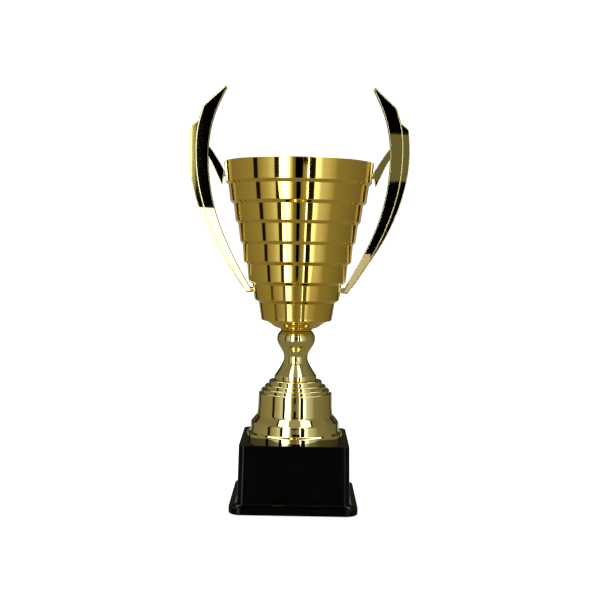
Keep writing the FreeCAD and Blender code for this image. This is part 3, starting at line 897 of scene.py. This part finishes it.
@dataclass
class Underside:
    """Felt glued under the plinth. Sizes in millimetres."""

    corner: float = 9.0
    soft_edge: float = 0.35
    ring_count: int = 20

    def build(self, wardrobe: Wardrobe) -> None:
        """Makes the felt: flat rings above and below, joined by two quarter rounds at the edge."""
        low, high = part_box("felt_pad")
        half, bottom, top = high.x / MM, low.z / MM, high.z / MM
        edge = self.soft_edge
        turn = np.linspace(0, math.pi / 2, 4)
        flat = half - edge
        middle = np.linspace(2.0, flat, self.ring_count)
        side = np.vstack([
            np.column_stack([middle, np.full_like(middle, bottom)])[:-1],
            np.column_stack([flat + edge * np.sin(turn), bottom + edge - edge * np.cos(turn)]),
            np.column_stack([flat + edge * np.cos(turn), top - edge + edge * np.sin(turn)]),
            np.column_stack([middle, np.full_like(middle, top)])[-2::-1],
        ])
        corner = np.minimum(self.corner, side[:, 0])
        rings = squared(np.column_stack([side[:, 0], corner, side[:, 1]]))
        piece = mesh_piece("felt_pad_cloth", [Shell.capped(rings)], 60)
        wardrobe.hand_over(piece, Slot.FELT, "felt_pad")


@dataclass
class Column:
    """Bell riser and stem, both turned and hollow. Sizes in millimetres."""

    bell_wall: float = 2.2
    bore: float = 3.3
    tube: float = 7.0
    lip_radius: float = 20.0
    lip_top: float = 121.1
    roof_extra: float = 0.6
    stem_side: tuple[Point2, ...] = (
        (19.6, 121.0), (16.9, 125.2), (13.4, 131.0), (11.2, 137.9), (12.9, 143.9),
        (16.3, 149.5), (18.1, 155.5), (17.0, 160.1), (14.9, 162.9),
    )
    bell_lower: tuple[Corner, ...] = (
        (44.9, 67.0, 1.8), (42.3, 69.0, 1.5), (41.8, 71.6, 1.2), (41.8, 77.0, 4.6),
        (35.7, 84.4, 5.0), (35.0, 91.5, 4.0), (34.7, 104.7, 1.9),
    )
    bell_rings: tuple[Point2, ...] = ((32.4, 104.9), (29.0, 108.6), (25.2, 112.4))
    ring_height: float = 3.4

    def bell_side(self, foot: float, top: float) -> list[Corner]:
        """Outside of the bell from the flange up: shoulder band, flare, body and three rings."""
        rings = []
        for radius, low in self.bell_rings:
            rings += [(radius, low, 0.2), (radius, low + self.ring_height, 1.5)]
        rings[-1] = (self.bell_rings[-1][0], top, 1.6)
        return [(self.bell_lower[0][0], foot, 0.3), *self.bell_lower, *rings]

    def build_bell(self, wardrobe: Wardrobe) -> None:
        """Makes the bell riser, open below, with its central tube."""
        low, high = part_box("bell_riser")
        foot, top = low.z / MM, high.z / MM
        outer = self.bell_side(foot, top)
        inner = offset_chain(outer, self.bell_wall)
        inner[0] = (inner[0][0], foot, 0.0)
        ceiling = top - self.bell_wall - self.roof_extra
        inner[-1] = (inner[-1][0], ceiling, 0.4)
        inner += [(self.tube, ceiling, 1.0), (self.tube, foot, 0.0), (self.bore, foot, 0.0)]
        outside = rounded_outline(outer + [(self.bore, top, 0.0)])
        inside = rounded_outline(inner, arc_steps=3)
        outline = np.vstack([outside, inside[::-1]])
        piece = mesh_piece("bell_riser_turned", [spun(outline)])
        wardrobe.hand_over(piece, Slot.COLUMN, "bell_riser")

    def build_stem(self, wardrobe: Wardrobe) -> None:
        """Makes the stem: lip, flared foot, neck and knob."""
        low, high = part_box("stem")
        foot, top = low.z / MM, high.z / MM
        lip = rounded_outline([
            (self.bore, foot, 0.0),
            (self.lip_radius, foot, 0.6),
            (self.lip_radius, self.lip_top, 0.5),
            (*self.stem_side[0], 0.0),
        ])
        side = smooth_line(self.stem_side, 72)
        roof = rounded_outline([
            (float(side[-2, 0]), float(side[-2, 1]), 0.0),
            (float(side[-1, 0]), top, 0.3),
            (self.bore, top, 0.0),
        ])
        outline = np.vstack([lip, side[1:-2], roof])
        piece = mesh_piece("stem_turned", [spun(outline)])
        wardrobe.hand_over(piece, Slot.COLUMN, "stem")

    def build(self, wardrobe: Wardrobe) -> None:
        """Makes both pieces."""
        self.build_bell(wardrobe)
        self.build_stem(wardrobe)


@dataclass
class Cup:
    """Thin spun bowl: eight tapering bands over a shallow dome. Sizes in millimetres."""

    wall: float = 0.8
    ledge: float = 2.5
    convex: float = 1.3
    concave: float = 0.9
    hem: float = 1.5
    hem_height: float = 3.0
    hem_step: float = 0.8
    hem_corner: float = 0.3
    bore: float = 3.3
    # radius, rise above the seat and corner radius, out from the hole
    dome: tuple[Corner, ...] = (
        (14.8, 0.0, 1.0), (15.1, 1.4, 0.5), (20.2, 2.8, 9.0),
        (25.6, 6.8, 7.0), (29.4, 8.9, 3.0), (33.4, 9.4, 1.9),
    )
    # top radius, bottom radius and bottom height, from the rim down
    bands: tuple[Corner, ...] = (
        (69.9, 68.3, 301.6), (65.7, 63.7, 283.6), (60.7, 58.6, 265.6), (56.2, 54.1, 246.6),
        (51.8, 50.5, 227.9), (47.2, 45.6, 209.4), (42.0, 39.9, 192.4), (36.0, 33.7, 174.5),
    )
    last_lift: float = 1.2
    last_corner: float = 1.0

    def side(self, seat: float, rim: float) -> list[Corner]:
        """Outside of the bowl from its hole up to the rim.

        Args:
            seat: Height of the underside.
            rim: Height of the rim.

        Returns:
            Points as (radius, height, corner radius).
        """
        chain = [(self.bore, seat, 0.0)] + [(r, seat + rise, corner) for r, rise, corner in self.dome]
        last = len(self.bands) - 1
        for k in range(last, -1, -1):
            top_r, low_r, low_z = self.bands[k]
            lowest = (low_r, low_z + self.last_lift, self.last_corner)
            chain.append(lowest if k == last else (low_r, low_z, self.convex))
            top_z = rim if k == 0 else self.bands[k - 1][2] - self.ledge
            chain.append((top_r, top_z, self.concave if k else 0.0))
        return chain

    def build(self, wardrobe: Wardrobe) -> None:
        """Makes the bowl, hemmed at the rim."""
        low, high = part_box("cup_bowl")
        seat, rim = low.z / MM, high.z / MM
        outer = self.side(seat, rim)
        inner = offset_chain(outer, self.wall)
        inner[0] = (self.bore, inner[0][1], 0.0)
        top_r, low_r, low_z = self.bands[0]
        slope = (top_r - low_r) / (rim - low_z)
        below = self.hem_height + self.hem_step
        inner[-1] = (inner[-1][0] - slope * below, rim - below, self.hem_corner)
        hem_r = top_r - self.hem - slope * self.hem_height
        inner.append((hem_r, rim - self.hem_height, self.hem_corner))
        half = self.hem / 2
        shoulder = rim - half
        inner.append((top_r - self.hem, shoulder, 0.0))
        outer[-1] = (top_r, shoulder, 0.0)
        outside, inside = rounded_outline(outer, 6), rounded_outline(inner, 4)
        turn = np.linspace(0, math.pi, 11)[1:-1]
        crown = np.column_stack([top_r - half + half * np.cos(turn), shoulder + half * np.sin(turn)])
        outline = np.vstack([outside, crown, inside[::-1]])
        piece = mesh_piece("cup_bowl_spun", [spun(outline)])
        wardrobe.hand_over(piece, Slot.CUP, "cup_bowl")


@dataclass
class Blade:
    """A flat crescent with rounded edges, between a side towards the cup and a far side."""

    near: np.ndarray
    far: np.ndarray
    thickness: float
    near_edge: float
    far_edge: float
    end_round: float
    edge_steps: int = 5
    hold: float = 1.3
    widest_edge: float = 0.36

    def section(self) -> tuple[np.ndarray, np.ndarray, np.ndarray]:
        """Closed unit section of a slab with four rounded edges.

        Returns:
            For each point of the section its share of the width (0 near, 1 far), its inset from
            that side in millimetres, and its height off the middle plane in millimetres.
        """
        half = self.thickness / 2
        turn = np.linspace(0, math.pi / 2, self.edge_steps + 1)
        inset = np.append(1 - np.cos(turn), self.hold)
        drop = np.append(1 - np.sin(turn), 0.0)
        near, far = self.near_edge, self.far_edge
        front_near = (np.zeros_like(inset), near * inset, near * drop - half)
        front_far = (np.ones_like(inset), far * inset[::-1], (far * drop - half)[::-1])
        back_far = (np.ones_like(inset), far * inset, half - far * drop)
        back_near = (np.zeros_like(inset), near * inset[::-1], (half - near * drop)[::-1])
        parts = (front_near, front_far, back_far, back_near)
        return tuple(np.concatenate([part[k] for part in parts]) for k in range(3))

    def shell(self) -> Shell:
        """The blade's surface: each ring spans from the near side to the far side, and the rings at
        both ends shrink on a quarter circle.

        Returns:
            A closed shell in metres.
        """
        share, inset, rise = self.section()
        across = self.far - self.near
        width = np.linalg.norm(across, axis=1)[:, None]
        across = across / np.maximum(width, 1e-6)
        room = np.minimum(1.0, self.widest_edge * width / max(self.near_edge, self.far_edge))
        along = share * width + (1 - 2 * share) * inset * room
        flat = self.near[:, None, :] + across[:, None, :] * along[:, :, None]
        rings = np.stack([flat[..., 0], np.broadcast_to(rise, along.shape), flat[..., 1]], axis=-1)
        turn = np.linspace(0, math.pi / 2, 4)[1:]
        caps = []
        for ring, other in ((rings[0], rings[1]), (rings[-1], rings[-2])):
            centre = ring.mean(axis=0)
            ahead = centre - other.mean(axis=0)
            ahead /= np.linalg.norm(ahead)
            spread = np.abs(ring - centre).max()
            shrink = 1 - (1 - np.cos(turn)) * min(self.end_round, 0.8 * spread) / spread
            cap = centre + (ring - centre) * shrink[:, None, None]
            caps.append(cap + ahead * (self.end_round * (np.sin(turn) - 1))[:, None, None])
        body = rings.copy()
        for end, other in ((0, 1), (-1, -2)):
            ahead = rings[end].mean(axis=0) - rings[other].mean(axis=0)
            body[end] = rings[end] - ahead / np.linalg.norm(ahead) * self.end_round
        return Shell.capped(np.concatenate([caps[0][::-1], body, caps[1]]) * MM)


@dataclass
class Handle:
    """One handle: inner blade, thinner outer blade, strut and two fixing bosses. Millimetres."""

    inner_thickness: float = 8.0
    outer_thickness: float = 4.8
    strut_thickness: float = 6.0
    cut: tuple[Point2, Point2] = ((69.9, 391.2), (90.3, 372.4))
    ring_count: int = 120
    cut_rings: int = 16
    boss_radius: float = 2.6
    upper_boss: tuple[float, float, float] = (69.05, 76.0, 309.4)
    lower_boss: tuple[float, float, float] = (41.65, 46.5, 201.3)
    near_side: tuple[Point2, ...] = (
        (68.3, 389.8), (77.2, 370.9), (82.9, 351.8), (85.2, 326.9), (83.8, 303.4),
        (78.5, 276.4), (68.2, 248.1), (56.2, 223.9), (42.4, 199.8),
    )
    far_side: tuple[Point2, ...] = (
        (90.3, 372.4), (95.3, 354.9), (97.3, 328.4), (94.8, 300.9), (85.4, 266.9),
        (73.1, 239.4), (60.5, 218.4), (47.3, 198.2),
    )
    hidden_side: tuple[Point2, ...] = (
        (90.3, 362.4), (91.0, 347.9), (91.2, 324.9), (87.0, 290.9), (76.5, 257.9),
        (63.5, 231.9), (49.8, 207.8),
    )
    outer_side: tuple[Point2, ...] = (
        (101.8, 353.0), (103.3, 330.1), (100.9, 304.7), (94.2, 279.4), (80.2, 248.1),
        (65.9, 225.2), (51.5, 203.6),
    )
    strut_top: tuple[Point2, ...] = (
        (90.0, 340.2), (86.4, 336.8), (82.5, 332.4), (77.7, 325.4), (72.7, 317.2),
        (70.1, 312.6),
    )
    strut_under: tuple[Point2, ...] = (
        (90.0, 331.4), (86.2, 326.6), (83.0, 321.8), (78.0, 311.8), (72.0, 299.0),
    )

    def inner_blade(self) -> Shell:
        """Thick blade: its far side runs down the slanted cut, round a corner and down the back."""
        near = smooth_line(self.near_side, self.ring_count)
        back = smooth_line(self.far_side, self.ring_count - self.cut_rings + 1)
        far = np.vstack([lead_line(*self.cut, self.cut_rings), back[1:]])
        return Blade(near, far, self.inner_thickness, 0.4, 1.0, 0.3).shell()

    def outer_blade(self) -> Shell:
        """Thin blade behind the thick one."""
        near, far = smooth_line(self.hidden_side, 100), smooth_line(self.outer_side, 100)
        return Blade(near, far, self.outer_thickness, 0.4, 0.5, 0.4).shell()

    def strut(self) -> Shell:
        """Wedge from the inner blade to the cup."""
        near, far = smooth_line(self.strut_under, 40), smooth_line(self.strut_top, 40)
        return Blade(near, far, self.strut_thickness, 0.5, 0.5, 0.4).shell()

    def shells(self) -> list[Shell]:
        """All closed surfaces of the right handle."""
        return [
            self.inner_blade(),
            self.outer_blade(),
            self.strut(),
            bar_along_x(*self.upper_boss, self.boss_radius),
            bar_along_x(*self.lower_boss, self.boss_radius),
        ]

    def build(self, wardrobe: Wardrobe) -> None:
        """Makes the right handle and the same one turned half round as the left."""
        right = self.shells()
        left = [turned_half_round(s) for s in right]
        for side, shells in (("right", right), ("left", left)):
            piece = mesh_piece(f"handle_{side}_moulding", shells, 35)
            wardrobe.hand_over(piece, Slot.COLUMN, f"handle_{side}")


@dataclass
class Fasteners:
    """CAD nodes that keep their own mesh and only need a finish."""

    others: tuple[tuple[str, Slot], ...] = (
        ("base_plate", Slot.BOARD),
        ("ballast_block", Slot.WEIGHT),
        ("seat_washer", Slot.FIBRE),
    )
    steel: tuple[str, ...] = (
        "base_screws", "tie_rod", "lower_washer", "lower_lock_washer", "lower_nut",
        "cup_washer", "cap_nut", "handle_screws", "handle_washers",
    )

    def build(self, wardrobe: Wardrobe) -> None:
        """Dresses each node."""
        for node, slot in (*self.others, *((name, Slot.STEEL) for name in self.steel)):
            wardrobe.dress(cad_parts[node], slot)
            LOG.info("%s: dressed", node)


# ---- studio -----------------------------------------------------------------------------------


@dataclass(frozen=True)
class Panel:
    """An upright stretch of the surroundings: bearings of its two edges and the level at each.

    Bearings are in degrees from the camera's side, positive to the right.
    """

    name: str
    start: float
    end: float
    level: float
    end_level: float


DARK = 0.008
LEFT_PANELS = (
    Panel("wall behind, left", -180, -147, 0.35, 0.35),
    Panel("bar behind, left", -146, -135, 0.02, 0.02),
    Panel("side wall, left", -134, -74, 0.2, 0.32),
    Panel("thin post, left", -73.3, -66, DARK, DARK),
    Panel("front wall, left", -65.3, -49, 0.29, 0.52),
    Panel("front wall beside the window", -44, -38.2, 0.68, 0.76),
    Panel("window post", -37.5, -29.9, DARK, DARK),
    Panel("window", -29.3, -18.5, 6.5, 5.0),
    Panel("window reveal", -13.5, -8, 1.0, 0.18),
    Panel("wall past the camera", 2, 13.4, 0.16, 0.45),
    Panel("slit of light", 13.9, 15.3, 6.0, 6.0),
    Panel("right post", 15.8, 25.6, DARK, DARK),
    Panel("pale curtain", 26.5, 30.5, 2.4, 1.6),
    Panel("front wall, right", 37, 47, 0.7, 0.58),
)
RIGHT_PANELS = (
    Panel("front wall, far right", 47, 57, 0.58, 0.4),
    Panel("side wall, right", 62, 136.5, 0.27, 0.15),
    Panel("bar behind, right", 137.5, 146, 0.02, 0.02),
    Panel("wall behind, right", 147, 180, 0.35, 0.35),
)


@dataclass(frozen=True)
class Roof:
    """Light overhead. Its lengths are shares of the height at which a direction is taken."""

    panel_half: float = 0.56
    panel_back: float = -1.2
    panel_front: float = 0.9
    frame_half: float = 0.62
    front: float = 1.0
    dim_half: float = 0.19
    bright_from: float = 0.24
    dim_level: float = 0.38
    bright_level: float = 2.2
    surround_level: float = 0.24
    lowest_rise: float = 0.6
    least_rise: float = 0.001


@dataclass(frozen=True)
class Tint:
    """Colour of the light: its red, and the green and blue that rise with its level.

    Green and blue are (level from, level to, share from, share to).
    """

    red: float = 0.83
    green: tuple[float, float, float, float] = (0.3, 1.1, 0.97, 1.2)
    blue: tuple[float, float, float, float] = (0.25, 1.0, 0.6, 1.45)


@dataclass
class Studio:
    """Floor, camera, panels and background. Sizes in metres and degrees."""

    camera_distance: float = 0.952
    camera_height: float = 0.2396
    camera_side: float = 0.003
    pitch: float = 2.86
    roll: float = 1.0
    lens: float = 60.6
    floor_half: float = 6.0
    level_scale: float = 8.0
    behind_from: float = 147.0
    behind_dimming: float = 0.82
    table_start: float = -0.2
    table_full: float = -0.45
    table_level: float = 0.24
    backdrop_level: float = 1.1
    floor_glow: float = 0.72
    card_plane: float = -0.95
    roof: Roof = Roof()
    tint: Tint = Tint()

    def build_camera(self) -> None:
        """A level-headed camera in front, looking slightly down and turned a little about its axis."""
        pitch, roll = math.radians(self.pitch), math.radians(self.roll)
        ahead = Vector((0, math.cos(pitch), -math.sin(pitch)))
        right = Vector((1, 0, 0))
        up = right.cross(ahead)
        x_axis = right * math.cos(roll) + up * math.sin(roll)
        y_axis = up * math.cos(roll) - right * math.sin(roll)
        turn = Matrix((x_axis, y_axis, -ahead)).transposed()
        data = bpy.data.cameras.new("camera")
        data.lens = self.lens
        data.sensor_width = 36.0
        data.clip_start = 0.05
        camera = bpy.data.objects.new("camera", data)
        place = Vector((self.camera_side, -self.camera_distance, self.camera_height))
        camera.matrix_world = Matrix.Translation(place) @ turn.to_4x4()
        bpy.context.scene.collection.objects.link(camera)
        bpy.context.scene.camera = camera

    def panel_ramp(self, g: Graph, bearing: Socket, panels: Sequence[Panel]) -> Socket:
        """A ramp over bearings with two stops for each panel, its levels divided by the scale.

        Args:
            g: The world's graph.
            bearing: Bearing in degrees.
            panels: The panels, from left to right.

        Returns:
            The level, multiplied back.
        """
        first, last = panels[0].start, panels[-1].end
        ramp = g.add("ShaderNodeValToRGB")
        g.feed(ramp.inputs[0], g.ranged(bearing, first, last))
        stops = ramp.color_ramp.elements
        edges = [edge for p in panels for edge in ((p.start, p.level), (p.end, p.end_level))]
        for k, (place, _) in enumerate(edges):
            position = (place - first) / (last - first)
            stop = stops[k] if k < 2 else stops.new(position)
            stop.position = position
        for stop, (_, level) in zip(sorted(stops, key=lambda s: s.position), edges):
            stop.color = (*[level / self.level_scale] * 3, 1)
        LOG.debug("panels: %s", ", ".join(p.name for p in panels))
        return g.math("MULTIPLY", ramp.outputs[0], self.level_scale)

    def ring_level(self, g: Graph, bearing: Socket, z: Socket) -> Socket:
        """Level of the upright surroundings: dimmed high up behind, and even towards the table.

        Args:
            g: The world's graph.
            bearing: Bearing in degrees.
            z: Upward part of the direction.

        Returns:
            The level.
        """
        left = self.panel_ramp(g, bearing, LEFT_PANELS)
        right = self.panel_ramp(g, bearing, RIGHT_PANELS)
        on_right = g.math("GREATER_THAN", bearing, RIGHT_PANELS[0].start)
        behind = g.math("GREATER_THAN", g.math("ABSOLUTE", bearing), self.behind_from)
        high_behind = g.math("MULTIPLY", behind, g.ranged(z, 0.0, 0.05))
        kept = g.math("SUBTRACT", 1.0, g.math("MULTIPLY", high_behind, self.behind_dimming))
        ring = g.math("MULTIPLY", g.mixed(on_right, left, right), kept)
        table = g.ranged(z, self.table_start, self.table_full)
        return g.mixed(table, ring, self.table_level)

    def roof_lights(self, g: Graph, aside: Socket, ahead: Socket) -> Socket:
        """Level overhead: a panel, brighter at its sides, in a dark frame with a dim roof round it.

        Args:
            g: The world's graph.
            aside: Distance to the side over the height, of where a direction meets the roof.
            ahead: Distance towards the camera over the height.

        Returns:
            The level.
        """
        roof = self.roof
        along = g.between(ahead, roof.panel_back, roof.panel_front)
        panel = g.math("MULTIPLY", g.math("LESS_THAN", aside, roof.panel_half), along)
        inside_front = g.math("LESS_THAN", ahead, roof.front)
        framed = g.math("MULTIPLY", g.math("LESS_THAN", aside, roof.frame_half), inside_front)
        bright = g.ranged(aside, roof.dim_half, roof.bright_from, roof.dim_level, roof.bright_level)
        surround = g.math("MULTIPLY", g.math("SUBTRACT", 1.0, framed), roof.surround_level)
        return g.math("ADD", g.math("MULTIPLY", panel, bright), surround)

    def tinted(self, g: Graph, level: Socket) -> bpy.types.Node:
        """A background whose light is warm where it is dim and cool where it is bright."""
        red = self.tint.red
        green = g.math("MULTIPLY", g.ranged(level, *self.tint.green), red)
        blue = g.math("MULTIPLY", g.ranged(level, *self.tint.blue), red)
        colour = g.add("ShaderNodeCombineColor")
        g.feed_all(colour, Red=red, Green=green, Blue=blue)
        light = g.add("ShaderNodeBackground")
        g.feed_all(light, Color=colour.outputs[0], Strength=g.math("MULTIPLY", level, 1.0 / red))
        return light

    def build_world(self) -> None:
        """Light from all round, and a white backdrop that only the camera sees.

        Bearing is atan2(x, -y) of the direction. Overhead, x / z and -y / z place the panel.
        """
        world = bpy.data.worlds.new("studio")
        bpy.context.scene.world = world
        world.use_nodes = True
        g = Graph(world.node_tree)
        world.node_tree.nodes.clear()
        split = g.add("ShaderNodeSeparateXYZ")
        g.feed(split.inputs[0], g.add("ShaderNodeTexCoord").outputs["Generated"])
        x, y, z = split.outputs
        towards = g.math("MULTIPLY", y, -1.0)
        ring = self.ring_level(g, g.math("DEGREES", g.math("ARCTAN2", x, towards)), z)
        height = g.math("MAXIMUM", z, self.roof.least_rise)
        aside = g.math("ABSOLUTE", g.math("DIVIDE", x, height))
        ahead = g.math("DIVIDE", towards, height)
        near_enough = g.math("LESS_THAN", ahead, self.roof.front)
        risen = g.math("GREATER_THAN", z, self.roof.lowest_rise)
        overhead = g.math("MULTIPLY", near_enough, risen)
        level = g.mixed(overhead, ring, self.roof_lights(g, aside, ahead))
        backdrop = g.add("ShaderNodeBackground")
        g.feed_all(backdrop, Color=(1, 1, 1, 1), Strength=self.backdrop_level)
        pick = g.add("ShaderNodeMixShader")
        g.feed(pick.inputs[0], g.add("ShaderNodeLightPath").outputs["Is Camera Ray"])
        g.feed(pick.inputs[1], self.tinted(g, level).outputs[0])
        g.feed(pick.inputs[2], backdrop.outputs[0])
        g.feed(g.add("ShaderNodeOutputWorld").inputs[0], pick.outputs[0])

    def build_floor(self) -> None:
        """A pale floor that polished surfaces don't mirror."""
        h = self.floor_half
        mesh = bpy.data.meshes.new("floor")
        mesh.from_pydata([(-h, -h, 0), (h, -h, 0), (h, h, 0), (-h, h, 0)], [], [(0, 1, 2, 3)])
        floor = bpy.data.objects.new("floor", mesh)
        bpy.context.scene.collection.objects.link(floor)
        material, g, shader = fresh_material("pale_floor")
        grain = g.ranged(g.noise(g.place(), 60.0, 3.0), 0.3, 0.7, 0.9, 0.92)
        colour = g.add("ShaderNodeCombineColor")
        g.feed_all(colour, Red=grain, Green=grain, Blue=grain)
        g.feed_all(
            shader,
            Base_Color=colour.outputs[0],
            Roughness=0.8,
            Emission_Color=(1, 1, 1, 1),
            Emission_Strength=self.floor_glow,
        )
        mesh.materials.append(material)
        floor.visible_glossy = False

    def card(
        self, name: str, y: float, corners: Sequence[Point2], level: float, blue: float = 1.0
    ) -> None:
        """An upright card across the camera's line of sight, seen only in reflections.

        Args:
            name: The card's name.
            y: Its place along the line of sight, in metres.
            corners: Its corners as (x, z), in metres.
            level: Its light level.
            blue: Share of blue in its light, less than 1 for a warm card.
        """
        mesh = bpy.data.meshes.new(name)
        mesh.from_pydata([(x, y, z) for x, z in corners], [], [tuple(range(len(corners)))])
        card = bpy.data.objects.new(name, mesh)
        bpy.context.scene.collection.objects.link(card)
        material = bpy.data.materials.new(name)
        material.use_nodes = True
        g = Graph(material.node_tree)
        material.node_tree.nodes.clear()
        glow = g.add("ShaderNodeEmission")
        g.feed_all(glow, Color=(1, 1, blue, 1), Strength=level)
        g.feed(g.add("ShaderNodeOutputMaterial").inputs[0], glow.outputs[0])
        mesh.materials.append(material)
        for sense in ("camera", "diffuse", "shadow", "transmission"):
            setattr(card, f"visible_{sense}", False)

    def oblong(self, name: str, x: Point2, z: Point2, level: float, blue: float = 1.0) -> None:
        """A rectangular card beside the camera."""
        corners = [(x[0], z[0]), (x[1], z[0]), (x[1], z[1]), (x[0], z[1])]
        self.card(name, self.card_plane, corners, level, blue)

    def build_cards(self) -> None:
        """Dark and pale cards round the camera and beside the handles."""
        tripod = [
            (-0.05, 0.0), (0.04, 0.0), (0.06, 0.17), (0.1, 0.21),
            (0.1, 0.45), (-0.085, 0.45), (-0.085, 0.2), (-0.065, 0.17),
        ]
        self.card("card_camera", self.card_plane, tripod, 0.0)
        self.oblong("card_lamp", (-0.09, 0.05), (1.0, 1.15), 0.0)
        self.oblong("card_left_dark", (-0.1965, -0.1), (0.313, 0.6), 0.0)
        self.oblong("card_left_strip", (-0.2035, -0.1965), (0.29, 0.5), 0.45, 0.7)
        self.oblong("card_left_pale", (-0.24, -0.2035), (0.29, 0.5), 2.0)
        low = [
            (-0.046, 0.18), (-0.0925, 0.284), (-0.1163, 0.2856),
            (-0.0994, 0.2478), (-0.0648, 0.194), (-0.056, 0.18),
        ]
        self.card("card_left_low", -0.2, low, 3.2)
        self.oblong("card_right_top", (0.1, 0.24), (0.457, 0.6), 0.0)
        self.oblong("card_right_mid", (0.105, 0.24), (0.3695, 0.457), 0.16, 0.6)
        self.oblong("card_right_low", (0.105, 0.24), (0.232, 0.3695), 0.0)
        foot = [
            (0.044, 0.186), (0.054, 0.186), (0.0745, 0.2245),
            (0.0745, 0.236), (0.067, 0.236), (0.0605, 0.2223),
        ]
        self.card("card_right_foot", -0.1, foot, 0.66)

    def build(self) -> None:
        """Sets up the whole studio."""
        self.build_camera()
        self.build_world()
        self.build_floor()
        self.build_cards()
        bpy.context.scene.view_settings.view_transform = "Standard"


def main() -> None:
    """Builds the trophy and its studio."""
    logging.basicConfig(level=logging.INFO, format="%(name)s: %(message)s")
    wardrobe = Wardrobe()
    Plinth().build(wardrobe)
    Underside().build(wardrobe)
    Column().build(wardrobe)
    Cup().build(wardrobe)
    Handle().build(wardrobe)
    Fasteners().build(wardrobe)
    Studio().build()


if __name__ == "__main__":
    main()
